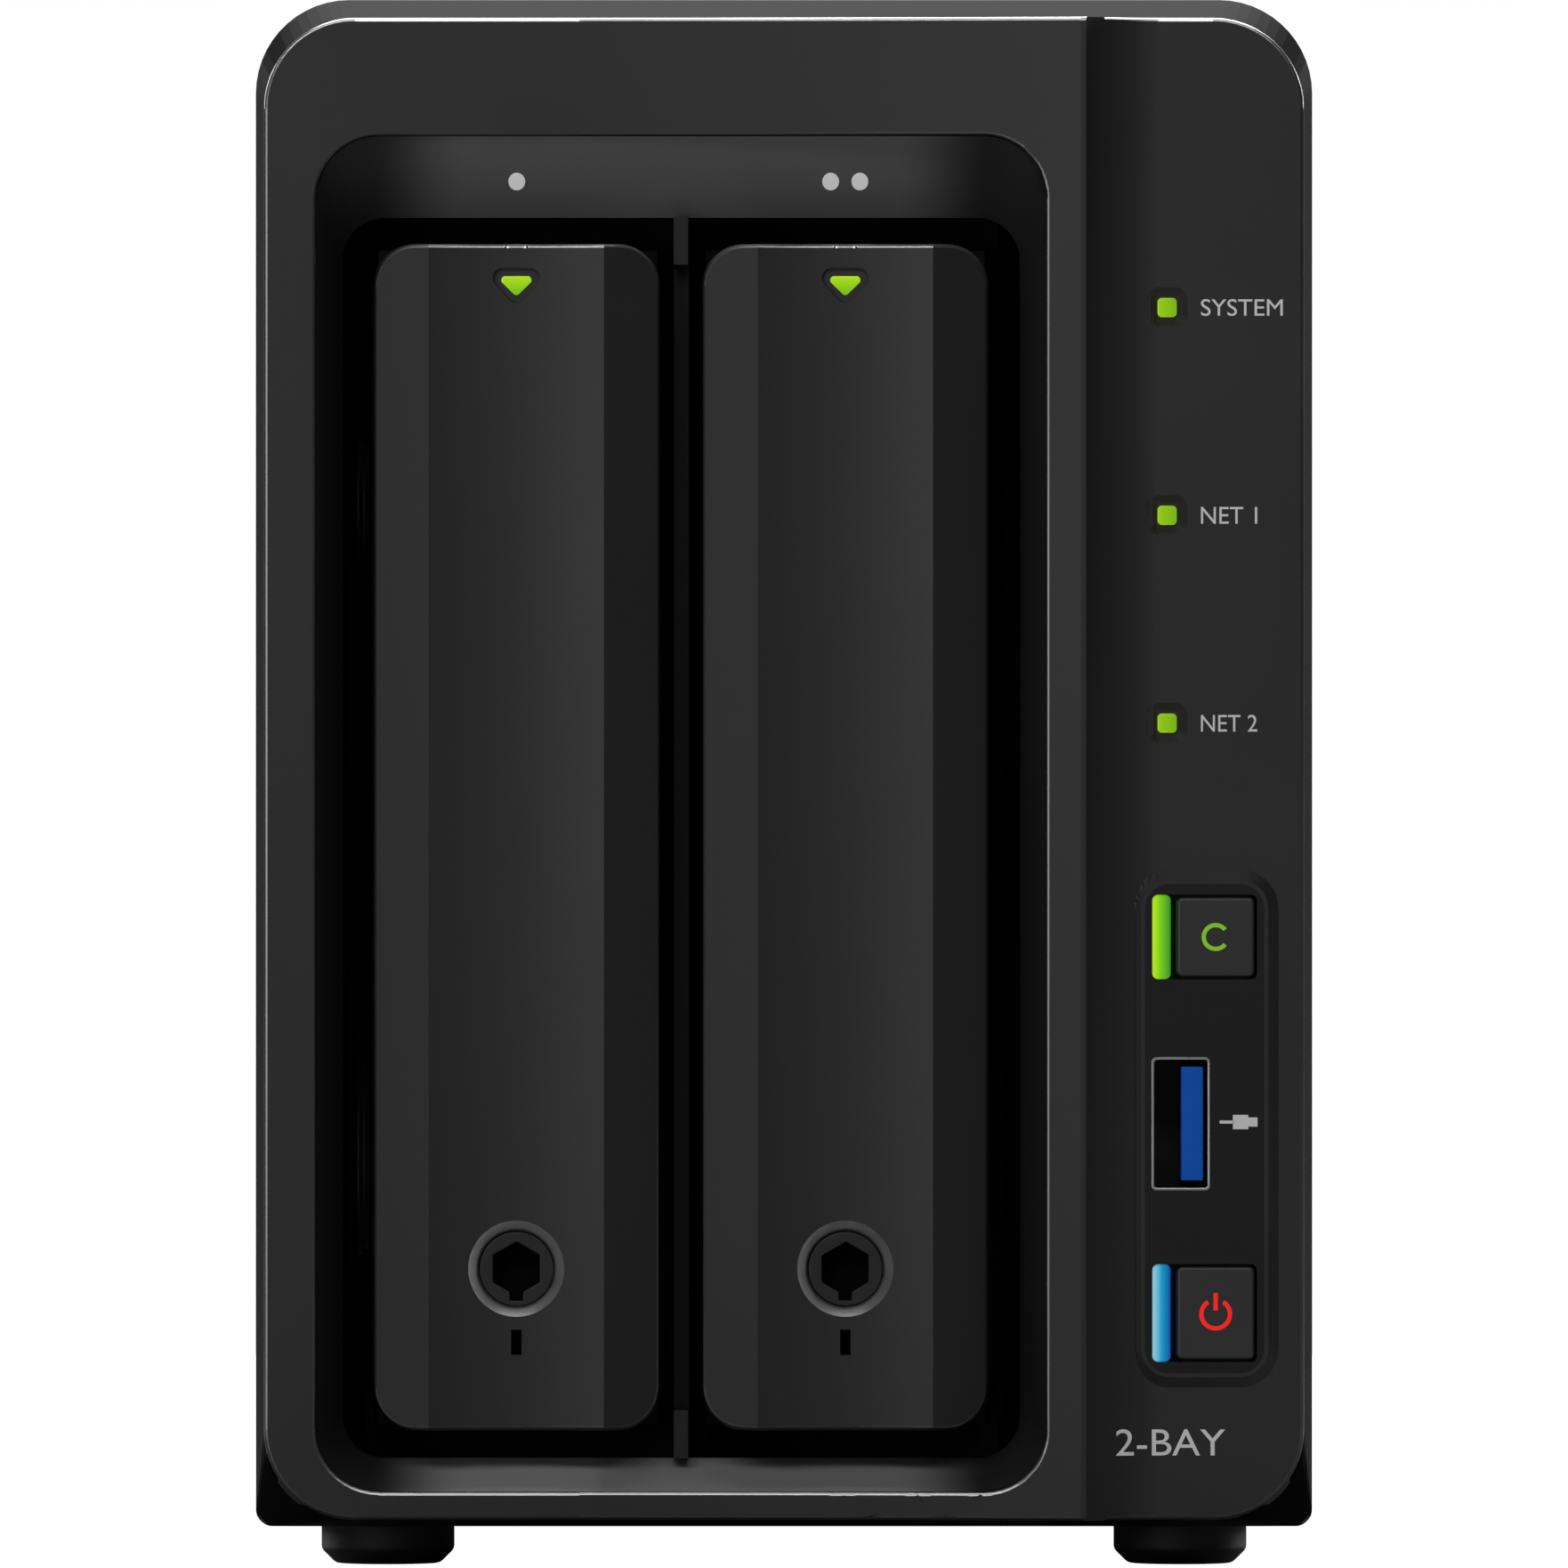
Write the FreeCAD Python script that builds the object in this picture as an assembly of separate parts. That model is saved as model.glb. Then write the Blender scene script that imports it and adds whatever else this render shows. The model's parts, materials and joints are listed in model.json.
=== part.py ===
import FreeCAD, Part
import math
import os
from FreeCAD import Vector

# A two-bay network storage box. Millimetres. X is to the right seen from the
# front, Y runs from the front to the back, Z is up. The origin lies on the
# ground under the middle of the case.

# ---- Driving dimensions: case ----------------------------------------------
width = 103.5
height = 153.64
depth = 232.0
foot_height = 4.09
foot_radius = 6.55
foot_side_inset = 12.68      # case side to foot centre
foot_end_inset = 22.0        # case end to foot centre
cover_wall = 1.2
cover_corner = 9.15
base_corner = 1.65
seam_rise = 3.0              # seam between cover and base, above the base
flange_wall = 1.0
flange_height = 11.0
sheet_gap = 0.1              # between sheets that slide into each other

# ---- Driving dimensions: front bezel ---------------------------------------
bezel_depth = 12.0
ridge_rise = 3.0             # ridge, proud of the flat face
ridge_from_side = 22.75
ridge_flat = 0.5
ridge_run_left = 49.0
ridge_run_right = 7.1
face_side_inset = 0.87
face_bottom_inset = 0.74
face_top_inset = 1.88
face_corner = 8.9
rim_slope_depth = 2.5
rim_start = 1.5              # flat face back to where the sloping rim ends
bezel_wall = 2.5

# ---- Driving dimensions: bays and trays ------------------------------------
bay_from_side = 8.41
bay_width = 66.49
bay_from_base = 6.57
bay_height = 121.75
bay_corner = 4.2
funnel_side = 2.41
funnel_bottom = 3.07
funnel_top = 7.76
funnel_corner = 6.1
tray_width = 28.15
tray_height = 116.1
tray_pitch = 32.2
tray_rise = 2.9              # bay floor to the underside of a tray face
tray_corner = 4.15
handle_wall = 1.8
handle_flank = 5.5
flank_drop = 2.4
dish_drop = 0.9
handle_front_step = 0.4      # bezel face to the handle ridges, further back
handle_rim_y = 11.3          # front of the case to the back rim of a handle
hinge_y_in = 9.3             # front of the case to the handle hinge
hinge_drop = 5.77            # top of a tray face to the hinge
pin_radius = 1.25
pin_clearance = 0.05
ear_radius = 2.2
ear_wall = 1.6
ear_gap = 0.3
tray_plate_y_in = 15.8       # front of the case to the tray's front plate
tray_plate_wall = 1.6
tray_inset = 0.35            # tray frame inside the outline of its face

# ---- Driving dimensions: hard drive ----------------------------------------
drive_length = 147.0
drive_width = 101.6
drive_side_room = 1.025      # side of a tray face to the side of its drive
drive_lid_wall = 0.8
drive_board_wall = 1.2

# ---- Driving dimensions: lock and arrow light ------------------------------
lock_rise = 15.82            # underside of a tray face to the lock centre
lock_radius = 3.6
lock_clearance = 0.065
lock_cone_radius = 4.71
lock_cone_depth = 1.2
lock_hexagon = 2.62          # centre to corner of the key socket
lock_boss_wall = 2.0
lock_slot_width = 1.03
lock_slot_rise = 7.37       # underside of a tray face to the slot
lock_slot_height = 2.49
catch_side_gap = 1.075       # catch to the handle wall beside it
catch_lock_gap = 0.6         # catch to the lock barrel
catch_wall = 1.6
arrow_drop = 4.06            # top of a tray face to the arrow light centre

# ---- Driving dimensions: control column ------------------------------------
column_from_side = 10.63     # case side to the middle of the control strip
strip_width = 11.64
strip_height = 47.82
strip_from_base = 15.13
strip_corner = 2.4
strip_proud = 0.7
shoulder = 1.5
well_width = 10.25
well_corner = 0.6
button_width = 7.62
light_strip_width = 1.83
power_rise = 21.0            # base to the middle of the power button
copy_rise = 57.77
power_well_height = 9.57
copy_well_height = 8.28
cap_gap = 0.23               # button cap to the wall of its well
usb_rise = 39.51
usb_shell_width = 5.8
usb_shell_length = 13.1
usb_shell_wall = 0.3
usb_tongue_width = 2.16
usb_tongue_length = 11.16
status_x_back = 3.64         # strip middle to the status lights, to the left
status_rises = (119.33, 99.01, 78.68)
status_lens_size = 1.9
status_dish_size = 4.0
status_dish_depth = 0.6

# ---- Driving dimensions: inside --------------------------------------------
cage_wall = 1.0
cage_gap = 0.25
rail_gap = 0.3
rail_lip = 0.8
rail_lip_height = 3.0
divider_wall = 1.5
board_wall = 1.6
front_board_y_in = 14.0
fan_size = 80.0
fan_depth = 25.0
fan_bore = 76.0
fan_screw_pitch = 71.5
fan_tip_gap = 0.7
fan_hub_radius = 16.0
fan_blades = 7
fan_from_side = 43.25
fan_rise = 90.91
back_panel_wall = 1.2
back_panel_inset = 1.2
port_from_side = 10.63
lan_rises = (51.9, 33.9)
usb_rises = (87.9, 71.9)
esata_rise = 102.9
reset_rise = 114.9
security_rise = 126.9
inlet_rise = 15.9

# ---- Places worked out from them -------------------------------------------
half_width = width / 2
front_y = -depth / 2
back_y = depth / 2
base_z = foot_height
inner_x = half_width - cover_wall
floor_z = base_z + cover_wall
ceiling_z = height - cover_wall
face_y = front_y + ridge_rise
bezel_back = front_y + bezel_depth
ridge_x = half_width - ridge_from_side
bay_left = -half_width + bay_from_side
bay_right = bay_left + bay_width
bay_bottom = base_z + bay_from_base
bay_top = bay_bottom + bay_height
bay_middle = (bay_left + bay_right) / 2
tray_centres = (bay_middle - tray_pitch / 2, bay_middle + tray_pitch / 2)
tray_bottom = bay_bottom + tray_rise
tray_top = tray_bottom + tray_height
handle_ridge_y = face_y + handle_front_step
handle_edge_y = handle_ridge_y + flank_drop
handle_back = front_y + handle_rim_y
hinge_y = front_y + hinge_y_in
hinge_z = tray_top - hinge_drop
lock_z = tray_bottom + lock_rise
plate_y = front_y + tray_plate_y_in
plate_back = plate_y + tray_plate_wall
drive_thickness = tray_width - 2 * drive_side_room
drive_front = plate_back + 0.6
drive_back = drive_front + drive_length
drive_bottom = (tray_bottom + tray_top - drive_width) / 2
drive_top = drive_bottom + drive_width
column_x = half_width - column_from_side
strip_bottom = base_z + strip_from_base
strip_top = strip_bottom + strip_height
strip_front = face_y - strip_proud
well_left = column_x - well_width / 2
front_board_y = front_y + front_board_y_in
cage_left = bay_left - cage_gap
cage_right = bay_right + cage_gap
cage_floor = bay_bottom - cage_gap
cage_ceiling = bay_top + cage_gap
cage_back = drive_back + 9.0
board_x = half_width - 4.15  # main board, the side that faces the middle
back_panel_y = back_y - back_panel_inset - back_panel_wall
port_x = half_width - port_from_side


# ---- Small makers ----------------------------------------------------------
def block(x0, x1, y0, y1, z0, z1):
    """A box between two corners."""
    return Part.makeBox(x1 - x0, y1 - y0, z1 - z0, Vector(x0, y0, z0))


def rod(radius, start, direction, length):
    """A cylinder from a start point along a direction."""
    return Part.makeCylinder(radius, length, Vector(*start), Vector(*direction))


def rounded_wire(x0, x1, z0, z1, top_radius, bottom_radius, y):
    """A rounded rectangle that faces the front, at depth y."""
    centres = (
        (x1 - top_radius, z1 - top_radius, top_radius),
        (x0 + top_radius, z1 - top_radius, top_radius),
        (x0 + bottom_radius, z0 + bottom_radius, bottom_radius),
        (x1 - bottom_radius, z0 + bottom_radius, bottom_radius),
    )
    arcs = []
    for quarter, (x, z, radius) in enumerate(centres):
        points = []
        for step in (0, 45, 90):
            turn = math.radians(90 * quarter + step)
            points.append(Vector(x + radius * math.cos(turn), y, z + radius * math.sin(turn)))
        arcs.append(Part.Arc(*points).toShape())
    edges = []
    for arc, following in zip(arcs, arcs[1:] + arcs[:1]):
        edges.append(arc)
        edges.append(Part.makeLine(arc.Vertexes[-1].Point, following.Vertexes[0].Point))
    return Part.Wire(edges)


def slab(x0, x1, y0, y1, z0, z1, radius, bottom_radius=None):
    """A rounded rectangle facing the front, with thickness from y0 to y1."""
    if bottom_radius is None:
        bottom_radius = radius
    wire = rounded_wire(x0, x1, z0, z1, radius, bottom_radius, y0)
    return Part.Face(wire).extrude(Vector(0, y1 - y0, 0))


def taper(front_wire, back_wire):
    """A solid that runs straight from one outline to the other."""
    return Part.makeLoft([front_wire, back_wire], True, True)


def prism_z(points, z0, z1):
    """A solid with a straight-sided plan, points given as (x, y)."""
    corners = [Vector(x, y, z0) for x, y in points]
    return Part.Face(Part.makePolygon(corners + corners[:1])).extrude(Vector(0, 0, z1 - z0))


def prism_y(points, y0, y1):
    """A solid with a straight-sided front view, points given as (x, z)."""
    corners = [Vector(x, y0, z) for x, z in points]
    return Part.Face(Part.makePolygon(corners + corners[:1])).extrude(Vector(0, y1 - y0, 0))


def joined(*shapes):
    """One solid from pieces that touch or overlap."""
    return shapes[0].fuse(list(shapes[1:])).removeSplitter()


def save(name, *solids):
    """Write one node's file; it may hold several separate solids."""
    shape = solids[0] if len(solids) == 1 else Part.makeCompound(list(solids))
    shape.exportStep(os.path.join("parts", name + ".step"))
    print(f"{name:22s} solids {len(shape.Solids):2d}  volume {shape.Volume:10.1f}  valid {shape.isValid()}")


# ---- Case --------------------------------------------------------------------
def case_slab(y0, y1, inset=0.0):
    """The case's rounded section, drawn in by an inset on every side."""
    return slab(-half_width + inset, half_width - inset, y0, y1, base_z + inset, height - inset,
                cover_corner - inset, max(base_corner - inset, 0.3))


def side_slots(x0, x1, first_y, count, pitch, slot, z0, z1):
    """A row of upright vent slots through a side wall."""
    cutters = []
    for index in range(count):
        y = first_y + index * pitch
        cutters.append(block(x0, x1, y, y + slot, z0, z1))
    return cutters


def side_screw_places():
    """Depth and height of the small screws that hold the cover to the base."""
    z = floor_z + flange_height / 2
    return [(front_y + 30.0, z), (back_y - 20.0, z)]


def side_screw(side, y, z, clearance=0.0):
    """A countersunk screw lying along X, its head flush with the cover."""
    head = Part.makeCone(2.6 + clearance, 1.45 + clearance, 1.1, Vector(side * half_width, y, z),
                         Vector(-side, 0, 0))
    shank = rod(1.45 + clearance, (side * (half_width - 1.1), y, z), (-side, 0, 0), 3.2)
    return joined(head, shank)


def make_cover():
    ring = case_slab(bezel_back, back_y).cut(case_slab(bezel_back - 1, back_y + 1, cover_wall))
    below_seam = block(-width, width, bezel_back - 1, back_y + 1, 0, base_z + seam_rise)
    cutters = [below_seam]
    slot_rows = ((floor_z + 22.0, floor_z + 40.0), (ceiling_z - 45.0, ceiling_z - 27.0))
    for side in (-1, 1):
        outside = side * (half_width + 1)
        inside = side * (half_width - cover_wall - 1)
        for z0, z1 in slot_rows:
            cutters += side_slots(min(outside, inside), max(outside, inside), back_y - 120.0, 14,
                                  7.0, 3.0, z0, z1)
        for y, z in side_screw_places():
            cutters.append(side_screw(side, y, z, 0.05))
    return ring.cut(cutters)


def make_base():
    ring = case_slab(bezel_back, back_y).cut(case_slab(bezel_back - 1, back_y + 1, cover_wall))
    above_seam = block(-width, width, bezel_back - 1, back_y + 1, base_z + seam_rise, height + 1)
    pan = ring.cut(above_seam)
    flanges = []
    for side in (-1, 1):
        outside = side * (inner_x - sheet_gap)
        inside = side * (inner_x - sheet_gap - flange_wall)
        flanges.append(block(min(outside, inside), max(outside, inside), bezel_back + 3.0,
                             back_panel_y - 1.0, floor_z - 0.2, floor_z + flange_height))
    pan = joined(pan, *flanges)
    cutters = []
    for x in (-20.0, 5.0):
        for index in range(12):
            y = back_y - 130.0 + index * 7.0
            cutters.append(block(x, x + 15.0, y, y + 3.0, base_z - 1, floor_z + 1))
    for side in (-1, 1):
        for y, z in side_screw_places():
            cutters.append(side_screw(side, y, z, 0.05))
    return pan.cut(cutters)


def foot_places():
    x = half_width - foot_side_inset
    return [(side * x, y) for side in (-1, 1) for y in (front_y + foot_end_inset, back_y - foot_end_inset)]


def make_feet():
    feet = []
    for x, y in foot_places():
        foot = rod(foot_radius, (x, y, 0), (0, 0, 1), foot_height)
        lower_edge = [edge for edge in foot.Edges if edge.BoundBox.ZMax < 0.01]
        feet.append(foot.makeChamfer(1.4, lower_edge))
    return feet


# ---- Front bezel -------------------------------------------------------------
def face_profile():
    """Plan of the bezel's front: flat, rising to a ridge, then falling to the control column."""
    rise_radius = (ridge_run_left ** 2 + ridge_rise ** 2) / (2 * ridge_rise)
    fall_radius = (ridge_run_right ** 2 + ridge_rise ** 2) / (2 * ridge_rise)
    rise_turn = math.asin(ridge_run_left / rise_radius)
    fall_turn = math.asin(ridge_run_right / fall_radius)
    rise_x = ridge_x - ridge_run_left
    fall_x = ridge_x + ridge_flat + ridge_run_right

    def on_rise(turn):
        return Vector(rise_x + rise_radius * math.sin(turn),
                      face_y - rise_radius * (1 - math.cos(turn)), 0)

    def on_fall(turn):
        return Vector(fall_x - fall_radius * math.sin(turn),
                      face_y - fall_radius * (1 - math.cos(turn)), 0)

    left = Vector(-half_width - 1, face_y, 0)
    right = Vector(half_width + 1, face_y, 0)
    back_right = Vector(half_width + 1, face_y + rim_start, 0)
    back_left = Vector(-half_width - 1, face_y + rim_start, 0)
    edges = [
        Part.makeLine(left, on_rise(0)),
        Part.Arc(on_rise(0), on_rise(rise_turn / 2), on_rise(rise_turn)).toShape(),
        Part.makeLine(on_rise(rise_turn), on_fall(fall_turn)),
        Part.Arc(on_fall(fall_turn), on_fall(fall_turn / 2), on_fall(0)).toShape(),
        Part.makeLine(on_fall(0), right),
        Part.makeLine(right, back_right),
        Part.makeLine(back_right, back_left),
        Part.makeLine(back_left, left),
    ]
    return Part.Face(Part.Wire(edges)).extrude(Vector(0, 0, height + 2))


def face_outline(y):
    return rounded_wire(-half_width + face_side_inset, half_width - face_side_inset,
                        base_z + face_bottom_inset, height - face_top_inset, face_corner, face_corner, y)


def funnel_outline(y):
    return rounded_wire(bay_left - funnel_side, bay_right + funnel_side, bay_bottom - funnel_bottom,
                        bay_top + funnel_top, funnel_corner, funnel_corner, y)


def bay_outline(y):
    return rounded_wire(bay_left, bay_right, bay_bottom, bay_top, bay_corner, bay_corner, y)


def strip_slab(y0, y1, grow=0.0):
    return slab(column_x - strip_width / 2 - grow, column_x + strip_width / 2 + grow, y0, y1,
                strip_bottom - grow, strip_top + grow, strip_corner + grow)


def status_places():
    return [(column_x - status_x_back, base_z + rise) for rise in status_rises]


def square_at(x, z, size, y0, y1, radius):
    half = size / 2
    return slab(x - half, x + half, y0, y1, z - half, z + half, radius)


def make_bezel():
    rim_front = face_y + rim_start
    rim_back = rim_front + rim_slope_depth
    skirt = case_slab(rim_back, bezel_back)
    rim_wire = rounded_wire(-half_width, half_width, base_z, height, cover_corner, base_corner, rim_back)
    slope = taper(face_outline(rim_front), rim_wire)
    face = Part.Face(face_outline(front_y - 1)).extrude(Vector(0, rim_front - front_y + 1, 0))
    face = face.common(face_profile())
    strip_wire = rounded_wire(column_x - strip_width / 2 - 0.4, column_x + strip_width / 2 + 0.4,
                              strip_bottom - 0.4, strip_top + 0.4, strip_corner + 0.4,
                              strip_corner + 0.4, strip_front)
    shoulder_wire = rounded_wire(column_x - strip_width / 2 - shoulder, column_x + strip_width / 2 + shoulder,
                                 strip_bottom - shoulder, strip_top + shoulder, strip_corner + shoulder,
                                 strip_corner + shoulder, face_y + 0.05)
    tabs = []
    for x in (-half_width / 2, half_width / 2 - 6):
        tabs.append(block(x, x + 6, bezel_back - 1, bezel_back + 6, ceiling_z - sheet_gap - 1.5,
                          ceiling_z - sheet_gap))
        tabs.append(block(x, x + 6, bezel_back - 1, bezel_back + 2.5, floor_z + sheet_gap,
                          floor_z + sheet_gap + 1.5))
    body = joined(skirt, slope, face, taper(strip_wire, shoulder_wire), *tabs)
    funnel_front = face_y + 0.6
    funnel_back = bezel_back - 0.6
    cutters = [
        Part.Face(funnel_outline(front_y - 1)).extrude(Vector(0, funnel_front - front_y + 1, 0)),
        taper(funnel_outline(funnel_front), bay_outline(funnel_back)),
        Part.Face(bay_outline(funnel_back)).extrude(Vector(0, 2, 0)),
        block(bay_right + funnel_side + 1.6, half_width - bezel_wall, face_y + bezel_wall, bezel_back + 1,
              base_z + 4, height - 10),
        strip_slab(front_y, bezel_back, 0.0),
    ]
    for x, z in status_places():
        cutters.append(square_at(x, z, status_lens_size, front_y, bezel_back, 0.45))
        wide = status_dish_size / 2
        narrow = status_lens_size / 2 + 0.2
        cutters.append(taper(
            rounded_wire(x - wide, x + wide, z - wide, z + wide, 1.2, 1.2, face_y - 0.01),
            rounded_wire(x - narrow, x + narrow, z - narrow, z + narrow, 0.6, 0.6,
                         face_y + status_dish_depth)))
    return body.cut(cutters)


def wells():
    """Height of the middle and full height of the power well and the copy well."""
    return (base_z + power_rise, power_well_height), (base_z + copy_rise, copy_well_height)


def usb_front_place():
    return column_x - strip_width / 2 + 0.61 + usb_shell_width / 2, base_z + usb_rise


def make_control_panel():
    panel = strip_slab(strip_front, face_y + bezel_wall)
    cutters = []
    for z, tall in wells():
        cutters.append(slab(well_left, well_left + well_width, front_y, face_y + 5,
                            z - tall / 2, z + tall / 2, well_corner))
    x, z = usb_front_place()
    cutters.append(slab(x - usb_shell_width / 2, x + usb_shell_width / 2, front_y, face_y + 5,
                        z - usb_shell_length / 2, z + usb_shell_length / 2, 0.5))
    return panel.cut(cutters)


def make_light_strip(z, tall):
    return slab(well_left, well_left + light_strip_width, strip_front + 0.25, face_y + bezel_wall + 2.0,
                z - tall / 2, z + tall / 2, well_corner)


def make_button(z, tall):
    """Cap, a retaining flange above and below the well, and a stem back to the switch."""
    cap_height = tall - 2 * cap_gap
    x1 = well_left + well_width - cap_gap
    x0 = x1 - button_width
    front = strip_front + 0.1
    cap = slab(x0, x1, front, face_y + bezel_wall + 1.4, z - cap_height / 2, z + cap_height / 2, 0.6)
    edges = [edge for edge in cap.Edges if edge.BoundBox.YMax < front + 0.01]
    cap = cap.makeFillet(0.35, edges)
    flange = block(x0 + 0.6, x1 - 0.6, face_y + bezel_wall + 0.25, face_y + bezel_wall + 1.4,
                   z - tall / 2 - 0.8, z + tall / 2 + 0.8)
    stem = rod(1.5, ((x0 + x1) / 2, face_y + bezel_wall + 1.0, z), (0, 1, 0),
               front_board_y - 2.9 - face_y - bezel_wall - 1.0)
    return joined(cap, flange, stem)


def button_middle_x():
    return well_left + well_width - cap_gap - button_width / 2


def make_status_lenses():
    lenses = []
    for x, z in status_places():
        window = square_at(x, z, status_lens_size, face_y + status_dish_depth - 0.35,
                           face_y + bezel_wall + 0.4, 0.45)
        collar = square_at(x, z, status_lens_size + 1.2, face_y + bezel_wall, face_y + bezel_wall + 1.0, 0.5)
        pipe_front = face_y + bezel_wall + 0.5
        pipe = rod(0.9, (x, pipe_front, z), (0, 1, 0), front_board_y - 1.2 - pipe_front)
        lenses.append(joined(window, collar, pipe))
    return lenses


# ---- Boards behind the front -------------------------------------------------
def make_front_board():
    return block(bay_right + 4.0, half_width - 3.0, front_board_y, front_board_y + board_wall,
                 base_z + 9.0, base_z + 131.0)


def make_button_switches():
    switches = []
    x = button_middle_x()
    for z, _ in wells():
        body = block(x - 3, x + 3, front_board_y - 1.6, front_board_y, z - 3, z + 3)
        nub = rod(1.6, (x, front_board_y - 2.2, z), (0, 1, 0), 0.8)
        switches.append(joined(body, nub))
    return switches


def make_front_lights():
    """The small light chips that sit behind the lenses and the light strips."""
    chips = []
    for x, z in status_places():
        chips.append(block(x - 0.8, x + 0.8, front_board_y - 0.8, front_board_y, z - 0.5, z + 0.5))
    for z, _ in wells():
        x = well_left + light_strip_width / 2
        chips.append(block(x - 0.5, x + 0.5, front_board_y - 0.8, front_board_y, z - 0.8, z + 0.8))
    return chips


# ---- Drive cage --------------------------------------------------------------
def make_cage():
    """Four welded sheets: a floor, a ceiling and two windowed sides that stand on the base."""
    y0 = bezel_back + 0.3
    sheets = []
    for z in (cage_floor - cage_wall, cage_ceiling):
        sheets.append(block(cage_left, cage_right, y0, cage_back, z, z + cage_wall))
    window = 22.0
    pitch = window + 8.0
    count = int((cage_back - bezel_back - 40) // pitch)
    for x in (cage_left - cage_wall, cage_right):
        side = block(x, x + cage_wall, y0, cage_back, cage_floor - cage_wall, cage_ceiling + cage_wall)
        leg = block(x, x + cage_wall, bezel_back + 8, cage_back, floor_z, cage_floor)
        windows = []
        for index in range(count):
            y = bezel_back + 35 + index * pitch
            for z in (cage_floor + 18, cage_floor + 68):
                windows.append(block(x - 1, x + cage_wall + 1, y, y + window, z, z + 34))
        sheets.append(joined(side, leg).cut(windows))
    return sheets


def make_divider():
    """Upright sheet between the bays, with a nose at the top and the bottom of its front."""
    sheet = block(bay_middle - divider_wall / 2, bay_middle + divider_wall / 2, plate_y, cage_back - 12,
                  cage_floor, cage_ceiling)
    noses = []
    half = divider_wall / 2
    tip = half - 0.03
    for z0, z1 in ((bay_bottom, bay_bottom + 4.77), (bay_top - 4.69, bay_top)):
        noses.append(prism_z([(bay_middle - tip, face_y + 5.0), (bay_middle + tip, face_y + 5.0),
                              (bay_middle + half + 0.1, plate_y + 0.5),
                              (bay_middle - half - 0.1, plate_y + 0.5)], z0, z1))
    return joined(sheet, *noses)


def make_rails():
    rails = []
    for x in tray_centres:
        half = tray_width / 2 + rail_gap
        y0 = plate_back + 10.0
        y1 = drive_back
        bottom = block(x - half, x + half, y0, y1, cage_floor, tray_bottom)
        top = block(x - half, x + half, y0, y1, tray_top, cage_ceiling)
        lips = []
        for side in (-1, 1):
            near = x + side * half
            far = x + side * (half + rail_lip)
            x0, x1 = min(near, far), max(near, far)
            lips.append(block(x0, x1, y0, y1, cage_floor, tray_bottom + rail_lip_height))
            lips.append(block(x0, x1, y0, y1, tray_top - rail_lip_height, cage_ceiling))
        rails.append(joined(bottom, lips[0], lips[2]))
        rails.append(joined(top, lips[1], lips[3]))
    return rails


def make_backplane():
    sheet = block(cage_left - cage_wall, cage_right + cage_wall, cage_back, cage_back + board_wall,
                  cage_floor - cage_wall, cage_ceiling + cage_wall)
    arm = block(cage_right, board_x - 4.0, cage_back, cage_back + board_wall, base_z + 31, base_z + 81)
    board = joined(sheet, arm)
    windows = []
    for x in tray_centres:
        windows.append(block(x - 9, x + 9, cage_back - 1, cage_back + 3, cage_floor + 8, drive_bottom + 22))
        windows.append(block(x - 9, x + 9, cage_back - 1, cage_back + 3, drive_bottom + 74, cage_ceiling - 8))
    return board.cut(windows)


def make_drive_sockets():
    sockets = []
    for x in tray_centres:
        middle = (drive_bottom + drive_top) / 2
        body = block(x - 3.2, x + 3.2, drive_back + 0.3, cage_back, middle - 22, middle + 22)
        slot = block(x - 0.7, x + 0.7, drive_back, drive_back + 4, middle - 20, middle + 20)
        sockets.append(body.cut(slot))
    return sockets


# ---- Trays, handles and locks ------------------------------------------------
def rounded_polygon(points, radius, y):
    """A convex outline facing the front: counter-clockwise centres, each rounded by the radius."""
    count = len(points)
    normals = []
    for index in range(count):
        ax, az = points[index]
        bx, bz = points[(index + 1) % count]
        length = math.hypot(bx - ax, bz - az)
        normals.append(((bz - az) / length, (ax - bx) / length))
    arcs = []
    for index, (x, z) in enumerate(points):
        first = normals[index - 1]
        last = normals[index]
        middle = (first[0] + last[0], first[1] + last[1])
        length = math.hypot(*middle)
        middle = (middle[0] / length, middle[1] / length)
        arc_points = [Vector(x + radius * nx, y, z + radius * nz) for nx, nz in (first, middle, last)]
        arcs.append(Part.Arc(*arc_points).toShape())
    edges = []
    for arc, following in zip(arcs, arcs[1:] + arcs[:1]):
        edges.append(arc)
        edges.append(Part.makeLine(arc.Vertexes[-1].Point, following.Vertexes[0].Point))
    return Part.Wire(edges)


def arrow(x, half_span, drop, radius, y0, y1):
    """A rounded arrowhead that points down."""
    z = tray_top - arrow_drop
    points = [(x - half_span, z + drop / 2), (x, z - drop / 2), (x + half_span, z + drop / 2)]
    return Part.Face(rounded_polygon(points, radius, y0)).extrude(Vector(0, y1 - y0, 0))


def handle_body(x, shrink):
    """The dished handle block; a positive shrink gives the hollow inside its walls."""
    half = tray_width / 2
    edge = handle_edge_y + shrink
    ridge = handle_ridge_y + shrink
    flank = half - handle_flank
    back = handle_back + shrink
    edges = [
        Part.makeLine(Vector(x - half, edge, 0), Vector(x - flank, ridge, 0)),
        Part.Arc(Vector(x - flank, ridge, 0), Vector(x, ridge + dish_drop, 0),
                 Vector(x + flank, ridge, 0)).toShape(),
        Part.makeLine(Vector(x + flank, ridge, 0), Vector(x + half, edge, 0)),
        Part.makeLine(Vector(x + half, edge, 0), Vector(x + half, back, 0)),
        Part.makeLine(Vector(x + half, back, 0), Vector(x - half, back, 0)),
        Part.makeLine(Vector(x - half, back, 0), Vector(x - half, edge, 0)),
    ]
    plan = Part.Face(Part.Wire(edges)).extrude(Vector(0, 0, height))
    outline = slab(x - half + shrink, x + half - shrink, front_y - 1, handle_back + 10,
                   tray_bottom + shrink, tray_top - shrink, tray_corner - shrink)
    return plan.common(outline)


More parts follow.
